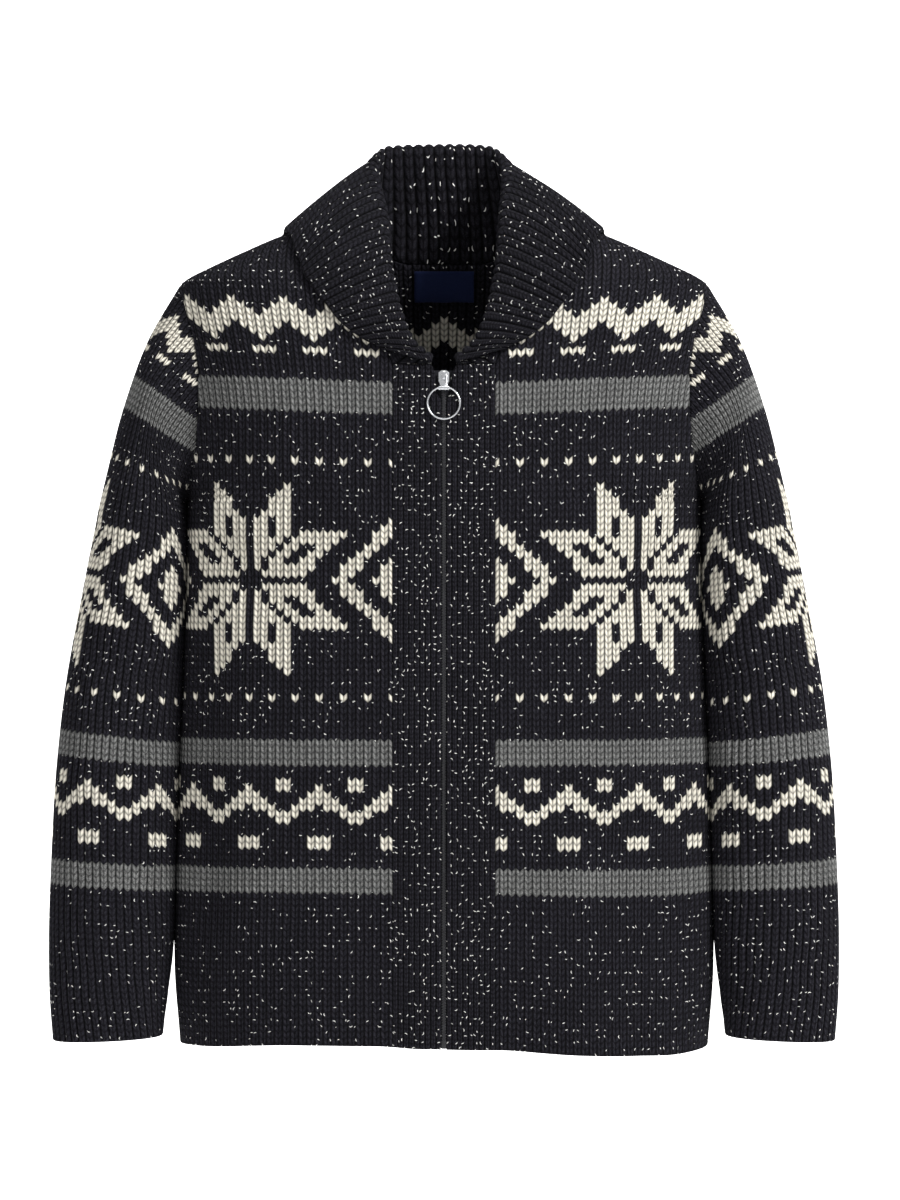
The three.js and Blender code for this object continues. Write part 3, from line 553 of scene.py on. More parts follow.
def make_sleeve(side):
    turn = np.linspace(180, -180, 721)
    armhole, armhole_normal = armhole_loop(turn)
    rings = np.array([armhole] + [sleeve_section(row, turn) for row in SLEEVE])
    tube = through_rings(rings, dense(128))[::-1]
    steps = np.linalg.norm(np.diff(tube, axis=1), axis=-1)
    lengths = np.concatenate([np.zeros((len(tube), 1)), np.cumsum(steps, axis=1)], axis=1)
    count = dense(300)
    s = lengths[:, -1:] * np.linspace(0, 1, count + 1)
    skin = np.stack([rows_interp(s, lengths, tube[..., k]) for k in range(3)], axis=-1)
    lie = np.stack([np.interp(s[-1], lengths[-1], armhole_normal[:, k]) for k in range(3)], axis=-1)
    outer_line = lengths[:, [360]]
    wale = (outer_line - s) / WALE
    course = (outer_level(skin[..., 0], skin[..., 2]) - HEM_Z) * 0.985 / COURSE - 0.6
    uv = np.stack([wale + 0.5, course], axis=-1)
    seam = np.exp(-(np.minimum(s, lengths[:, -1:] - s) / 2.2) ** 2)
    relief = np.maximum(rib(uv[..., 0], RIB_DEPTH), 1.5 * seam)
    if side < 0:
        skin, uv, relief = mirror(skin), uv[:, ::-1].copy(), relief[:, ::-1].copy()
        lie = lie[::-1] * np.array([-1, 1, 1])
    name = "sleeve_tube_" + ("right" if side > 0 else "left")
    return shell(name, skin[:, :-1], WALL, uv, relief[:, :-1], wrap=True, moved=towards_body,
                 folds=sleeve_folds, top_normal=lie[:-1])


# ---------------------------------------------------------------- collar
# How far round the seam each place of the fold is sewn, so that the ribs stand straight at the back.
SEAM_PLACE = np.array([(0, 0), (0.2, 0.15), (0.34, 0.31), (0.5, 0.49), (1, 1)], float)


def neck_line(count):
    """Outer skin and normal of the neckline, evenly spaced from the band to the middle of the back."""
    x = np.linspace(11, BAND_OUTER + SEAM, 40)
    z = np.linspace(BAND_TOP_Z, NECK_POINT_Z, 160)
    down = np.linspace(NECK_POINT_Z, BACK_NECK_Z, 80)
    flat = np.linspace(BACK_NECK[0, 1], 0, 40)
    over = np.linspace(front_inner(np.array([NECK_POINT_Z * 1.0]))[0],
                       angle_at_x(BACK_NECK[-1, 1], NECK_POINT_Z, True), 40)
    angle = np.concatenate([
        angle_at_x(x, BAND_TOP_Z, False), front_inner(z)[1:], over[1:],
        angle_at_x(smooth(BACK_NECK, 1, down), down, True)[1:], angle_at_x(flat, BACK_NECK_Z, True)[1:]])
    height = np.concatenate([0 * x + BAND_TOP_Z, z[1:], 0 * over[1:] + NECK_POINT_Z, down[1:],
                             0 * flat[1:] + BACK_NECK_Z])
    p, n = body_point(angle, height), body_normal(angle, height)
    length = np.concatenate([[0], np.cumsum(np.linalg.norm(np.diff(p, axis=0), axis=1))])
    even = spread(length[-1], count * 2)[:count]
    place = 1 - even / even[-1]
    s = (1 - smooth(SEAM_PLACE, 1, place)) * length[-1]
    p = np.stack([np.interp(s, length, p[:, k]) for k in range(3)], axis=-1)
    n = unit(np.stack([np.interp(s, length, n[:, k]) for k in range(3)], axis=-1))
    return p, n, place


def collar_lean(p):
    """The standing collar leans a little to one side, and its top edge is not quite level."""
    x, z = p[..., 0], p[..., 2]
    out = p.copy()
    out[..., 0] -= COLLAR_LEAN * ramp(z, 0, 90)
    out[..., 2] += ramp(z, 40, 90) * (1.3 * np.sin((x + 20) / 26) - 0.02 * x)
    return out


def make_collar():
    skin, out_way, place = neck_line(dense(215))
    start = skin - out_way * WALL / 2
    start[:, 0] -= SEAM * 1.1 * np.clip(skin[:, 0] / 30, 0, 1)
    start[:, 2] += SEAM
    fold = np.stack([smooth(COLLAR_FOLD, k, place) for k in (1, 2, 3)], axis=-1)
    roll = smooth(COLLAR_FOLD, 4, place)[:, None]
    lead = np.clip(place + 0.17 * np.sin(math.pi * place), 0, 1)
    edge_angle, edge_z = smooth(COLLAR_EDGE, 1, lead), smooth(COLLAR_EDGE, 2, lead)
    edge = body_point(edge_angle, edge_z) + body_normal(edge_angle, edge_z) * EDGE_LIFT
    up = unit(fold - start)
    out = unit(out_way - up * np.sum(out_way * up, axis=1, keepdims=True))
    centre = fold - up * roll + out * roll
    stand_end, fall_start = centre - out * roll, centre + out * roll
    bow = smooth(COLLAR_EDGE, 3, lead)[:, None]
    path = []
    edge_radius = COLLAR_WALL / 2
    stand = spread(1.0, 34, 0.02)[:-3]
    for t in stand:
        path.append(start + (stand_end - start) * t)
    for degrees in np.linspace(180, 0, 16)[1:]:
        turn = math.radians(degrees)
        path.append(centre + out * roll * math.cos(turn) + up * roll * math.sin(turn))
    fall_length = np.linalg.norm(edge - fall_start, axis=1, keepdims=True)
    for t in np.concatenate([np.linspace(0, 1, 36)[1:-1], [-1, -0.45, -0.12, 0]]):
        share = t if 0 < t else 1 + t * edge_radius / fall_length
        path.append(fall_start + (edge - fall_start) * share + out * bow * 4 * share * (1 - share))
    half = np.array(path)
    fold_steps = np.linalg.norm(np.diff(fold, axis=0), axis=1)
    from_back = np.concatenate([np.cumsum(fold_steps[::-1])[::-1], [0]])
    wale = np.broadcast_to(from_back / COLLAR_RIB, half.shape[:2])
    grid = np.concatenate([half, mirror(half)[:, 1:]], axis=1)
    wales = np.concatenate([wale, -wale[:, -2::-1]], axis=1)
    across = np.linalg.norm(np.diff(grid, axis=0), axis=-1).mean(axis=1)
    course = np.concatenate([[0], np.cumsum(across)])[:, None] / COLLAR_COURSE + 0 * wales
    uv = np.stack([wales + 0.5, course], axis=-1)
    relief = rib(uv[..., 0], 2.5, 2.2)
    return shell("collar_shawl", grid, COLLAR_WALL, uv, relief, inner_ribs=relief, step=(1, 1), centred=True,
                 moved=collar_lean)


fronts = {side: make_front(side) for side in (-1, 1)}
bands = {side: make_band(side) for side in (-1, 1)}
sleeves = {side: make_sleeve(side) for side in (-1, 1)}
back = make_back()
collar = make_collar()

# ---------------------------------------------------------------- neck label
LABEL_WIDTH, LABEL_HEIGHT, LABEL_BOTTOM, LABEL_WALL = 54, 27.5, -50, 0.8


def make_label():
    z = LABEL_BOTTOM + spread(LABEL_HEIGHT, 24, LABEL_WALL / 2)
    x = LABEL_WIDTH / 2 - spread(LABEL_WIDTH, 40, LABEL_WALL / 2)
    angle = angle_at_x(x[None, :] + 0 * z[:, None], z[:, None], True)
    angle = np.where(x[None, :] < 0, 360 - angle, angle)
    skin = body_point(angle, z[:, None])
    normal = body_normal(angle, z[:, None])
    wave = np.cos(x / (LABEL_WIDTH / 2) * 2.1 * math.pi)[None, :] * 0.5
    lower_edge = np.exp(-((z - LABEL_BOTTOM) / 7) ** 2)[:, None] * wave
    skin = skin - normal * (WALL + 1.0 + lower_edge)[..., None]
    uv = np.stack([x[None, :] + 0 * skin[..., 0], z[:, None] + 0 * skin[..., 0]], axis=-1)
    return shell("label_neck", skin, LABEL_WALL, uv, 0 * skin[..., 0], step=(2, 2))


# ---------------------------------------------------------------- hard pieces
# The pull's own frame: X across, Y up along the front, Z out of the cloth.
SLIDER_Z, SLIDER_LEAN_SPAN = -130.5, 36
seat = body_point(0.0, SLIDER_Z)
lean = math.atan2(seat[1] - body_point(0.0, SLIDER_Z - SLIDER_LEAN_SPAN)[1], SLIDER_LEAN_SPAN)
ZIP_FRAME = Matrix.Translation(Vector(seat) * MM) @ Matrix.Rotation(math.pi / 2 - lean, 4, "X")
HINGE_ABOVE, HINGE_OUT = 2.0, 2.2
TAB_LENGTH = 11.3
RING_RADIUS, RING_WIRE, RING_STRAIGHT = 14, 0.8, 5.6


def rounded_copy(node, name, width, segments=3):
    """A merged copy of a metal CAD node with its sharp edges rounded."""
    piece = new_piece(name, bpy.data.objects[node].data.copy())
    open_mesh(piece)
    bpy.ops.mesh.remove_doubles(threshold=0.00001)
    bpy.ops.mesh.dissolve_limited(angle_limit=math.radians(1))
    bpy.ops.object.mode_set(mode="OBJECT")
    bevel = piece.modifiers.new("round", "BEVEL")
    bevel.width, bevel.segments, bevel.limit_method = width * MM, segments, "ANGLE"
    bevel.angle_limit = math.radians(35)
    bpy.ops.object.modifier_apply(modifier="round")
    bpy.ops.object.shade_smooth_by_angle(angle=math.radians(40))
    return piece


def make_ring():
    bpy.ops.object.select_all(action="DESELECT")
    bpy.ops.mesh.primitive_torus_add(major_radius=RING_RADIUS * MM, minor_radius=RING_WIRE * MM,
                                     major_segments=144, minor_segments=20)
    ring = bpy.context.active_object
    ring.name = "ring_round"
    half = math.asin(RING_STRAIGHT / RING_RADIUS)
    drop = RING_RADIUS * math.cos(half)
    for vertex in ring.data.vertices:
        x, y = vertex.co.x / MM, vertex.co.y / MM
        if y > 0 and abs(x) < RING_STRAIGHT * 1.12:
            arc = math.sqrt(RING_RADIUS ** 2 - min(abs(x), RING_STRAIGHT) ** 2)
            vertex.co.y -= (arc - drop) * MM
    bpy.ops.object.shade_smooth()
    centre = Vector((0, HINGE_ABOVE - TAB_LENGTH - drop, HINGE_OUT)) * MM
    ring.data.transform(ZIP_FRAME @ Matrix.Translation(centre))
    ring.data.update()
    return ring


# ---------------------------------------------------------------- zip teeth
TOOTH_PITCH = 2.3
TOOTH_SIZE = (2.3 * MM, 1.2 * MM, 1.3 * MM)
TOOTH_ASIDE = 0.72    # how far the teeth of each side stand from the middle
TOOTH_SUNK = 1.35     # and how far behind the front of the knit
TEETH_TOP = -137.5
FOOT_Z = HEM_Z + 5.0
FOOT_STRETCH = np.array([1.75, 1.5, 5.2])


def make_teeth():
    """One tooth is modelled once; its copies interlock down the front from the slider to the hem."""
    bpy.ops.object.select_all(action="DESELECT")
    bpy.ops.mesh.primitive_cube_add(size=1)
    tooth = bpy.context.active_object
    open_mesh(tooth)
    bpy.ops.transform.resize(value=TOOTH_SIZE)
    bpy.ops.mesh.bevel(offset=0.32 * MM, segments=2, affect="EDGES")
    bpy.ops.object.mode_set(mode="OBJECT")
    base = np.array([v.co for v in tooth.data.vertices]) / MM
    faces = [list(p.vertices) for p in tooth.data.polygons]
    bpy.data.objects.remove(tooth)
    places = np.arange(TEETH_TOP, HEM_Z + 1.5, -TOOTH_PITCH / 2)
    points, polygons = [], []
    for k, z in enumerate(places):
        side = 1 if k % 2 else -1
        ahead, behind = body_point(0.0, z + 1), body_point(0.0, z - 1)
        rise = unit(ahead - behind)
        out = np.array([0, -rise[2], rise[1]])
        centre = body_point(0.0, z) - out * TOOTH_SUNK
        shape = base.copy()
        shape[:, 0] += side * TOOTH_ASIDE
        start = k * len(base)
        points.append(centre + shape[:, :1] * [1, 0, 0] - shape[:, 1:2] * out + shape[:, 2:] * rise)
        polygons += [[i + start for i in face] for face in faces]
    start = len(places) * len(base)
    foot = base * FOOT_STRETCH * np.array([1, -1, 1])
    points.append(body_point(0.0, FOOT_Z) + np.array([0, 1.6, 0]) + foot)
    polygons += [[i + start for i in face] for face in faces]
    points = sag(np.concatenate(points))
    mesh = bpy.data.meshes.new("zip_teeth")
    mesh.from_pydata([tuple(p * MM) for p in points], [], polygons)
    mesh.update()
    piece = new_piece("zip_teeth", mesh)
    open_mesh(piece)
    bpy.ops.mesh.normals_make_consistent(inside=False)
    bpy.ops.object.mode_set(mode="OBJECT")
    bpy.ops.object.shade_smooth_by_angle(angle=math.radians(40))
    return piece


# ---------------------------------------------------------------- building node trees
def feed(tree, slot, value):
    """Gives a node's input a fixed value, or links it to a socket or a Field."""
    if isinstance(value, Field):
        value = value.socket
    if isinstance(value, bpy.types.NodeSocket):
        tree.links.new(value, slot)
    else:
        slot.default_value = value


def binary(operation):
    return lambda self, other: self.math(operation, other)


class Field:
    """A number that changes over the surface; arithmetic on it adds Math nodes to its tree."""

    def __init__(self, tree, socket):
        self.tree, self.socket = tree, socket

    def math(self, operation, *others):
        node = self.tree.nodes.new("ShaderNodeMath")
        node.operation = operation
        for slot, value in zip(node.inputs, (self, *others)):
            feed(self.tree, slot, value)
        return Field(self.tree, node.outputs[0])

    __add__ = binary("ADD")
    __sub__ = binary("SUBTRACT")
    __mul__ = binary("MULTIPLY")
    __truediv__ = binary("DIVIDE")
    __pow__ = binary("POWER")
    less = binary("LESS_THAN")
    more = binary("GREATER_THAN")
    either = binary("MAXIMUM")
    both = binary("MULTIPLY")

    def absolute(self):
        return self.math("ABSOLUTE")

    def whole(self):
        return self.math("FLOOR")

    def part(self):
        return self.math("FRACT")

    def clamped(self):
        node = self.tree.nodes.new("ShaderNodeClamp")
        self.tree.links.new(self.socket, node.inputs["Value"])
        return Field(self.tree, node.outputs[0])

    def between(self, low, high):
        """1 where the value is from low up to high, and 0 elsewhere."""
        return self.more(low - 0.5).both(self.less(high - 0.5))

    def bounce(self, period, shift=0.0):
        """Distance to the nearest whole number of periods."""
        return ((self + (shift + period / 2)).math("FLOORED_MODULO", period) - period / 2).absolute()


def new_group(name, inputs, outputs):
    """A shader node group; inputs are (name, kind, value) and outputs (name, kind)."""
    tree = bpy.data.node_groups.new(name, "ShaderNodeTree")
    for label, kind, value in inputs:
        socket = tree.interface.new_socket(label, in_out="INPUT", socket_type="NodeSocket" + kind)
        if value is not None:
            socket.default_value = value
    for label, kind in outputs:
        tree.interface.new_socket(label, in_out="OUTPUT", socket_type="NodeSocket" + kind)
    return tree, tree.nodes.new("NodeGroupInput"), tree.nodes.new("NodeGroupOutput")


def add_node(tree, kind, links=(), **values):
    """A node with its settings and input values; links is a dict of input name to socket."""
    node = tree.nodes.new(kind)
    for key, value in values.items():
        setattr(node, key, value)
    for label, source in dict(links).items():
        feed(tree, node.inputs[label], source)
    return node


def mix(tree, factor, first, second, blend="MIX"):
    node = tree.nodes.new("ShaderNodeMix")
    node.data_type, node.blend_type = "RGBA", blend
    for slot, value in ((node.inputs[0], factor), (node.inputs[6], first), (node.inputs[7], second)):
        feed(tree, slot, value)
    return node.outputs[2]


def stitch_group():
    """V-shaped stitches in ribs: their relief, a painted shade for their grooves, and the rib and row that
    each point belongs to.
    """
    tree, inlet, outlet = new_group(
        "knit stitches", [("Wale", "Float", 0.0), ("Course", "Float", 0.0), ("V Depth", "Float", 0.6)],
        [("Height", "Float"), ("Rib", "Float"), ("Row", "Float"), ("Shade", "Float")])
    wale, course = Field(tree, inlet.outputs["Wale"]), Field(tree, inlet.outputs["Course"])
    depth = Field(tree, inlet.outputs["V Depth"])
    aside = (wale.part() * 2 - 1).absolute()
    lifted = course - aside * depth
    strand = ((lifted.part() * math.pi).math("SINE").absolute() + 0.0001) ** 0.55
    leg = ((aside * math.pi).math("SINE").absolute() + 0.0001) ** 0.6
    height = strand * leg * 0.6 + (aside ** 2 * -1 + 1) * 0.4
    groove = (aside ** 5 * -1 + 1)
    # Shade is painted shade: darker in the rib grooves, at the edges of the legs and between rows.
    shade = (strand * 0.62 + 0.38) * (leg * 0.5 + 0.5) * (groove * 0.8 + 0.2)
    results = {"Height": height, "Rib": wale.whole(), "Row": lifted.whole(), "Shade": shade}
    for label, value in results.items():
        tree.links.new(value.socket, outlet.inputs[label])
    return tree


def fleck_group():
    """Short curved hairs of pale wool, one to some of the cells of a pattern in millimetres."""
    tree, inlet, outlet = new_group(
        "wool flecks", [("Across", "Float", 0.0), ("Along", "Float", 0.0), ("Cell", "Float", 5.5),
                        ("Share", "Float", 0.45)], [("Mask", "Float")])
    across, up = Field(tree, inlet.outputs["Across"]), Field(tree, inlet.outputs["Along"])
    cell = Field(tree, inlet.outputs["Cell"])
    spot = add_node(tree, "ShaderNodeCombineXYZ", {"X": across / cell, "Y": up / cell})
    cells = add_node(tree, "ShaderNodeTexVoronoi", {"Vector": spot.outputs[0], "Scale": 1.0,
                     "Randomness": 1.0}, voronoi_dimensions="2D")
    centre = add_node(tree, "ShaderNodeSeparateXYZ", {"Vector": cells.outputs["Position"]})
    luck = add_node(tree, "ShaderNodeSeparateColor", {"Color": cells.outputs["Color"]})
    dx = across - Field(tree, centre.outputs[0]) * cell
    dy = up - Field(tree, centre.outputs[1]) * cell
    turn = Field(tree, luck.outputs[0]) * (2 * math.pi)
    cosine, sine = turn.math("COSINE"), turn.math("SINE")
    along_hair = dx * cosine + dy * sine
    off_hair = dy * cosine - dx * sine
    bend = Field(tree, luck.outputs[2]) * 0.7 - 0.35
    off_hair = off_hair + along_hair * along_hair * bend
    size = Field(tree, luck.outputs[2]) * 0.9 + 0.7
    away = (along_hair / size).absolute() ** 2 + (off_hair / 0.36).absolute() ** 2
    mask = ((away * -1 + 1) * 3).clamped().both(Field(tree, luck.outputs[1]).less(
        Field(tree, inlet.outputs["Share"])))
    tree.links.new(mask.socket, outlet.inputs["Mask"])
    return tree


def chart_group():
    """The knitted-in pattern, counted in ribs and rows: stars, lozenges, zigzags and plain stripes."""
    tree, inlet, outlet = new_group("star pattern", [("Rib", "Float", 0.0), ("Row", "Float", 0.0)],
                                    [("Cream", "Float"), ("Grey", "Float")])
    rib_no, row = Field(tree, inlet.outputs["Rib"]), Field(tree, inlet.outputs["Row"])

    star_x = rib_no.bounce(36)
    star_y = (row - 72).absolute() * 0.79
    wide, tall = star_x - star_y, star_y - star_x
    petal_flat = wide.between(1, 7).both(star_y.more(0.6)).both(star_y.less(5.6))
    petal_up = tall.between(1, 7).both(star_x.more(0.6)).both(star_x.less(5.6))
    slit_flat = wide.between(3, 5).both(star_y.between(2.5, 4.5))
    slit_up = tall.between(3, 5).both(star_x.between(2.5, 4.5))
    star = petal_flat.either(petal_up) - slit_flat.either(slit_up)

    lozenge = rib_no.bounce(36, 18) + star_y
    ring = lozenge.more(5.4).both(lozenge.less(7.6))
    heart = lozenge.less(2.6)
    stars = star.either(ring).either(heart).both((row - 72).absolute().less(15.5))

    peak = rib_no.bounce(9, 4.5)
    zig_low = (row - 35 - peak * 0.9).absolute().less(1.2)
    tooth_low = (row - 31.5).absolute().less(0.6).both(rib_no.bounce(9).less(1.2))
    tooth_top = (row - 40.5).absolute().less(0.6).both(rib_no.bounce(9, 4.5).less(1.2))
    steps = rib_no.bounce(6)
    arrow = row - 113.5 + steps
    under = (row - 107).absolute().less(0.6).both(steps.more(1.6))
    arrows = arrow.more(-1.6).both(arrow.less(1.6)).either(under)
    dots_low = (row - 54).absolute().less(0.5).both(rib_no.bounce(3).less(0.5))
    dots_high = (row - 90).absolute().less(0.5).both(rib_no.bounce(3).less(0.5))
    cream = stars.either(zig_low).either(tooth_low).either(tooth_top).either(arrows)
    cream = cream.either(dots_low).either(dots_high)
    grey = row.between(24, 28).either(row.between(44, 48)).either(row.between(98, 103))
    tree.links.new(cream.socket, outlet.inputs["Cream"])
    tree.links.new(grey.socket, outlet.inputs["Grey"])
    return tree


def marl_group():
    """Loose fibres of lighter and darker wool, from the place on the garment in metres."""
    tree, inlet, outlet = new_group("wool marl", [("Place", "Vector", None), ("Fineness", "Float", 900.0)],
                                    [("Fibre", "Float"), ("Cloud", "Float")])
    fibre = add_node(tree, "ShaderNodeTexNoise", {"Vector": inlet.outputs["Place"],
                     "Scale": inlet.outputs["Fineness"], "Detail": 3.0, "Roughness": 0.7, "Distortion": 1.2})
    cloud = add_node(tree, "ShaderNodeTexNoise", {"Vector": inlet.outputs["Place"], "Scale": 34.0,
                     "Detail": 3.0, "Roughness": 0.55})
    tree.links.new(fibre.outputs[0], outlet.inputs["Fibre"])
    tree.links.new(cloud.outputs[0], outlet.inputs["Cloud"])
    return tree


STITCHES, FLECKS, CHART, MARL = stitch_group(), fleck_group(), chart_group(), marl_group()


def group_node(tree, group, links):
    node = tree.nodes.new("ShaderNodeGroup")
    node.node_tree = group
    for label, source in links.items():
        feed(tree, node.inputs[label], source)
    return node


def new_material(name, roughness, sheen=0.0, metallic=0.0):
    material = bpy.data.materials.new(name)
    material.use_nodes = True
    tree = material.node_tree
    surface = tree.nodes["Principled BSDF"]
    surface.inputs["Roughness"].default_value = roughness
    surface.inputs["Metallic"].default_value = metallic
    if sheen:
        surface.inputs["Sheen Weight"].default_value = sheen
        surface.inputs["Sheen Roughness"].default_value = 0.55
        surface.inputs["Sheen Tint"].default_value = (0.85, 0.86, 0.95, 1)
        surface.inputs["Specular IOR Level"].default_value = 0.06
    return material, tree, surface


DARK = (0.0085, 0.0082, 0.0112, 1)
DARK_LIGHT = (0.040, 0.0385, 0.049, 1)
CREAM = (0.78, 0.74, 0.64, 1)
CREAM_SHADE = (0.56, 0.52, 0.43, 1)
ASH = (0.045, 0.045, 0.046, 1)
SILVER_WOOL = (0.27, 0.272, 0.266, 1)
FLECK = (0.78, 0.77, 0.74, 1)
OTHER_SIDE = 371.3    # moves the flecks along on one side, so that the two sides differ


def knit_material(name, rib_mm, course_mm, share, patterned=False, v_depth=0.6, relief=1.5, tone=1.0):
    """Ribbed knit with flecks on a share of its cells and painted shade in its stitch grooves; a tone below
    1 darkens its charcoal wool.
    """
    material, tree, surface = new_material(name, 0.95, sheen=0.008)
    knit_uv = add_node(tree, "ShaderNodeUVMap", uv_map="Knit")
    parts = add_node(tree, "ShaderNodeSeparateXYZ", {"Vector": knit_uv.outputs[0]})
    place = add_node(tree, "ShaderNodeTexCoord").outputs["Object"]
    wobble = add_node(tree, "ShaderNodeTexNoise", {"Vector": place, "Scale": 60.0, "Detail": 1.0})
    shift = Field(tree, wobble.outputs[0]) - 0.5
    wale = Field(tree, parts.outputs[0]) + shift * 0.10
    course = Field(tree, parts.outputs[1]) + shift * 0.35
    stitches = group_node(tree, STITCHES, {"Wale": wale, "Course": course, "V Depth": v_depth})
    sides = add_node(tree, "ShaderNodeSeparateXYZ", {"Vector": place})
    shuffle = Field(tree, sides.outputs[0]).less(0.0) * OTHER_SIDE
    flecks = group_node(tree, FLECKS, {"Across": Field(tree, parts.outputs[0]) * rib_mm + shuffle,
                                      "Along": Field(tree, parts.outputs[1]) * course_mm, "Share": share})
    marl = group_node(tree, MARL, {"Place": place})
    fibre = Field(tree, marl.outputs["Fibre"])
    contrast = ((fibre - 0.42) * 4).clamped()
    dark, lit = [tuple(c * tone for c in wool[:3]) + (1,) for wool in (DARK, DARK_LIGHT)]
    colour = mix(tree, contrast * 0.75, dark, lit)
    speck = Field(tree, flecks.outputs["Mask"])
    if patterned:
        chart = group_node(tree, CHART, {"Rib": stitches.outputs["Rib"], "Row": stitches.outputs["Row"]})
        ash = mix(tree, ((fibre - 0.34) * 3.4).clamped(), ASH, SILVER_WOOL)
        colour = mix(tree, Field(tree, chart.outputs["Grey"]), colour, ash)
        cream = mix(tree, contrast * 0.35, CREAM, CREAM_SHADE)
        colour = mix(tree, Field(tree, chart.outputs["Cream"]), colour, cream)
        speck = speck * (Field(tree, chart.outputs["Grey"]) * -1 + 1)
        speck = speck * (Field(tree, chart.outputs["Cream"]) * -1 + 1)
    # Painted shade: the colour is darkened in the stitch grooves, between rows and at the leg edges, times a
    # random cloudy tone of the wool.
    groove_shade = Field(tree, stitches.outputs["Shade"])
    shade = groove_shade * (groove_shade * 0.75 + 0.25) + 0.04
    cloud = Field(tree, marl.outputs["Cloud"]) * 0.5 + 0.75
    shade_and_cloud = add_node(tree, "ShaderNodeCombineColor", {"Red": shade * cloud, "Green": shade * cloud,
                          "Blue": shade * cloud})
    colour = mix(tree, 1.0, colour, shade_and_cloud.outputs[0], "MULTIPLY")
    colour = mix(tree, speck, colour, FLECK)
    tree.links.new(colour, surface.inputs["Base Color"])
    height = Field(tree, stitches.outputs["Height"]) + fibre * 0.22
    height = height + Field(tree, flecks.outputs["Mask"]) * 0.12
    bump = add_node(tree, "ShaderNodeBump", {"Height": height, "Strength": 1.0, "Distance": relief * MM})
    tree.links.new(bump.outputs[0], surface.inputs["Normal"])
    return material


def woven_material(name, base, light, pitch, sheen=0.1, roughness=0.75):
    """Fine tape or label cloth: a close twill with its thread tops painted lighter and painted shade in the
    gaps between threads, and a random grain in its tone.
    """
    material, tree, surface = new_material(name, roughness, sheen=sheen)
    place = add_node(tree, "ShaderNodeTexCoord").outputs["Object"]
    parts = add_node(tree, "ShaderNodeSeparateXYZ", {"Vector": place})
    x, z = Field(tree, parts.outputs[0]) / (pitch * MM), Field(tree, parts.outputs[2]) / (pitch * MM)
    warp = ((x * math.pi).math("SINE").absolute() + 0.001) ** 0.6
    weft = (((z + (x.whole() * 0.5)) * math.pi).math("SINE").absolute() + 0.001) ** 0.6
    thread = warp * weft
    grain = add_node(tree, "ShaderNodeTexNoise", {"Vector": place, "Scale": 500.0, "Detail": 2.0})
    # Painted shade: the colour follows the thread relief, lighter on the thread tops and darker in the gaps
    # between threads; the grain noise is random tone of the cloth.
    tone = (thread * 0.8 + Field(tree, grain.outputs[0]) * 0.4 - 0.1).clamped()
    tree.links.new(mix(tree, tone, base, light), surface.inputs["Base Color"])
    bump = add_node(tree, "ShaderNodeBump", {"Height": thread, "Strength": 0.8, "Distance": 0.25 * MM})
    tree.links.new(bump.outputs[0], surface.inputs["Normal"])
    return material


def metal_material(name, colour, dull, roughness, metallic=1.0):
    """Cast metal with fine scuffs and slightly uneven polish."""
    material, tree, surface = new_material(name, roughness, metallic=metallic)
    place = add_node(tree, "ShaderNodeTexCoord").outputs["Object"]
    patches = add_node(tree, "ShaderNodeTexNoise", {"Vector": place, "Scale": 420.0, "Detail": 3.0})
    scuffs = add_node(tree, "ShaderNodeTexNoise", {"Vector": place, "Scale": 2600.0, "Detail": 2.0})
    worn = ((Field(tree, patches.outputs[0]) - 0.45) * 3).clamped()
    tree.links.new(mix(tree, worn, colour, dull), surface.inputs["Base Color"])
    rough = worn * 0.14 + Field(tree, scuffs.outputs[0]) * 0.12 + (roughness - 0.1)
    tree.links.new(rough.socket, surface.inputs["Roughness"])
    bump = add_node(tree, "ShaderNodeBump", {"Height": scuffs.outputs[0], "Strength": 0.25,
                    "Distance": 0.05 * MM})
    tree.links.new(bump.outputs[0], surface.inputs["Normal"])
    return material


patterned_wool = knit_material("patterned wool", WALE, COURSE, 0.26, patterned=True)
collar_wool = knit_material("collar wool", COLLAR_RIB, COLLAR_COURSE, 0.27, v_depth=0.5, relief=1.4,
                            tone=0.74)
band_wool = knit_material("band wool", BAND_RIB, BAND_COURSE, 0.53, v_depth=0.5, relief=1.2, tone=0.88)
tape_cloth = woven_material("zip tape cloth", (0.006, 0.006, 0.008, 1), (0.02, 0.02, 0.024, 1), 0.9)
label_cloth = woven_material("label satin", (0.006, 0.010, 0.040, 1), (0.016, 0.026, 0.085, 1), 0.7,
                             sheen=0.05, roughness=0.5)
polished = metal_material("polished zinc", (0.66, 0.67, 0.69, 1), (0.40, 0.41, 0.43, 1), 0.26)
tooth_metal = metal_material("dark tooth", (0.011, 0.011, 0.013, 1), (0.035, 0.035, 0.038, 1), 0.42, 0.3)


def finish_piece(piece, material, slot, body, *nodes):
    piece.data.materials.clear()
    piece.data.materials.append(material)
    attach(piece, body)
    if nodes:
        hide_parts(*nodes)


# ---------------------------------------------------------------- making the garment
label = make_label()
teeth = make_teeth()
slider = rounded_copy("zip_slider", "slider_body", 0.28)
tab = rounded_copy("pull_tab", "tab_plate", 0.22)
ring = make_ring()

finish_piece(back, patterned_wool, "patterned_knit", "garment", "back")
for side, word in ((-1, "left"), (1, "right")):
    finish_piece(fronts[side], patterned_wool, "patterned_knit", "garment", f"front_{word}")
    finish_piece(bands[side], band_wool, "plain_rib", "garment", f"band_{word}")
    finish_piece(sleeves[side], patterned_wool, "patterned_knit", "garment", f"sleeve_{word}")
    bpy.data.objects[f"zip_tape_{word}"].material_slots[0].material = tape_cloth
finish_piece(collar, collar_wool, "plain_rib", "garment", "shawl_collar")
finish_piece(label, label_cloth, "label", "garment", "neck_label")
finish_piece(teeth, tooth_metal, "zip_tape", "garment")
finish_piece(slider, polished, "silver_metal", "garment", "zip_slider")
finish_piece(tab, polished, "silver_metal", "tab", "pull_tab")
finish_piece(ring, polished, "silver_metal", "ring", "pull_ring")

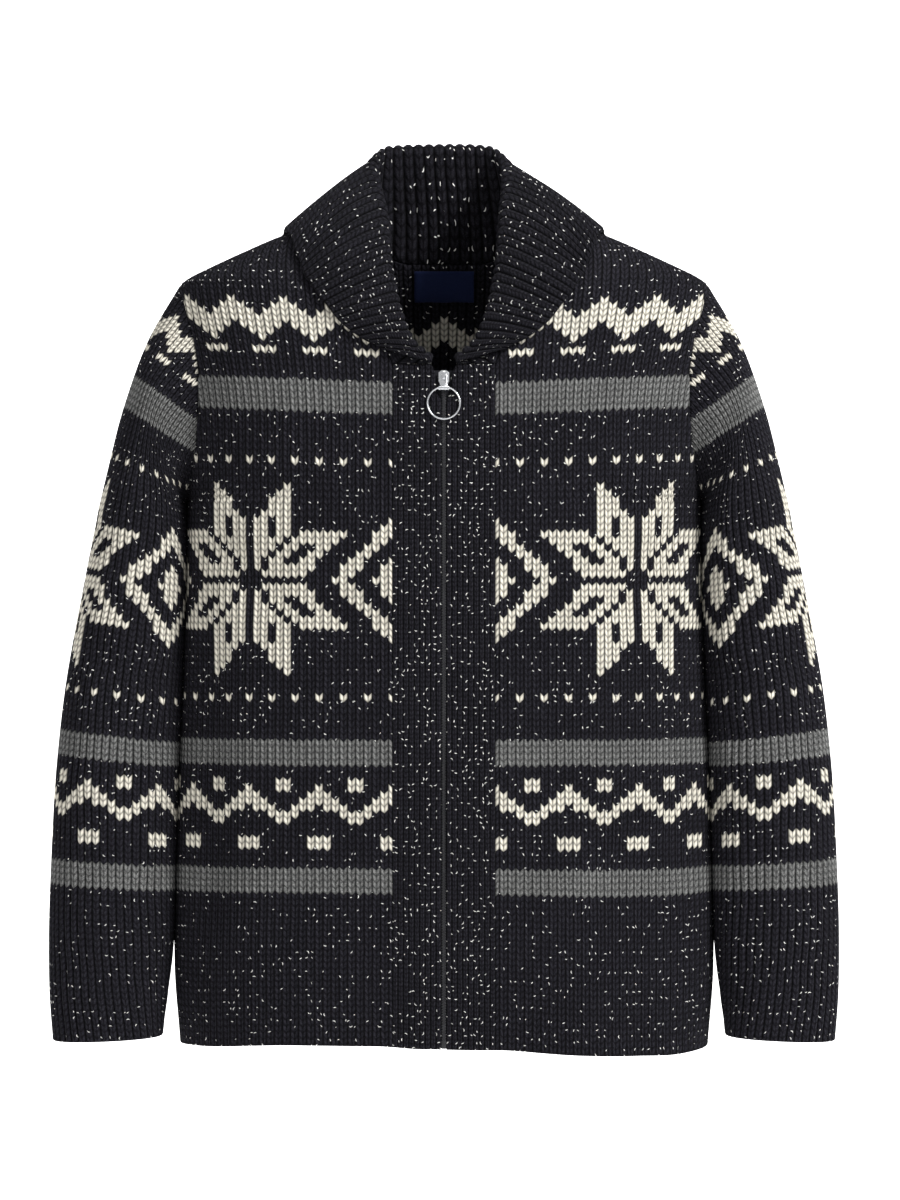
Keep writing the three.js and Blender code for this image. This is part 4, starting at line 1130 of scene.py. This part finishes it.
# ---------------------------------------------------------------- floor, light and camera
def make_floor():
    """A pale floor that runs up behind into a plain wall."""
    profile = [(-9.0, FLOOR_Z)]
    radius, wall_y = 2.2, 4.0
    for k in range(13):
        turn = math.pi / 2 * k / 12
        profile.append((wall_y + radius * math.sin(turn), FLOOR_Z + radius * (1 - math.cos(turn))))
    profile.append((wall_y + radius, 8.0))
    points = [(x, y, z) for y, z in profile for x in (-12, 12)]
    faces = [(2 * k, 2 * k + 1, 2 * k + 3, 2 * k + 2) for k in range(len(profile) - 1)]
    mesh = bpy.data.meshes.new("floor")
    mesh.from_pydata(points, [], faces)
    mesh.polygons.foreach_set("use_smooth", [True] * len(faces))
    floor = new_piece("floor", mesh)
    material, tree, surface = new_material("pale floor", 0.9)
    surface.inputs["Base Color"].default_value = (0.93, 0.93, 0.93, 1)
    mesh.materials.append(material)


def area_light(name, place, target, energy, size):
    data = bpy.data.lights.new(name, "AREA")
    data.energy, data.size = energy, size
    light = bpy.data.objects.new(name, data)
    light.location = place
    light.rotation_euler = (Vector(target) - Vector(place)).to_track_quat("-Z", "Y").to_euler()
    bpy.context.collection.objects.link(light)


FLOOR_Z = -1.10
# Name, place, what it points at, power and size.
LIGHTS = [
    ("key", (2.3, -2.0, 2.0), (0, 0, -0.25), 165, 0.9),
    ("fill", (-2.6, -2.6, 0.0), (0, 0, -0.35), 26, 2.2),
    ("top", (0.3, 0.2, 2.6), (0, 0, -0.2), 26, 1.6),
    ("behind", (0.0, 1.6, 2.4), (0, 5.5, 0.4), 420, 3.0)]
make_floor()
for light in LIGHTS:
    area_light(*light)

world = bpy.data.worlds.new("studio")
world.use_nodes = True
backdrop = world.node_tree.nodes["Background"]
backdrop.inputs["Color"].default_value = (1, 1, 1, 1)
seen = world.node_tree.nodes.new("ShaderNodeLightPath")
glow = world.node_tree.nodes.new("ShaderNodeMath")
glow.operation = "MULTIPLY_ADD"
glow.inputs[1].default_value, glow.inputs[2].default_value = 0.4, 0.6
world.node_tree.links.new(seen.outputs["Is Camera Ray"], glow.inputs[0])
world.node_tree.links.new(glow.outputs[0], backdrop.inputs["Strength"])

scene = bpy.context.scene
scene.world = world
scene.view_settings.view_transform = "Standard"
PICTURE_HEIGHT = 1.065      # metres of the garment's plane from the top of the picture to the bottom
DISTANCE = 3.5
camera_data = bpy.data.cameras.new("camera")
camera_data.sensor_fit = "VERTICAL"
camera_data.sensor_height = 36
camera_data.lens = 36 * DISTANCE / PICTURE_HEIGHT
camera = bpy.data.objects.new("camera", camera_data)
camera.location = (0.0053, -DISTANCE, -0.322)
camera.rotation_euler = (math.pi / 2, 0, 0)
bpy.context.collection.objects.link(camera)
scene.camera = camera
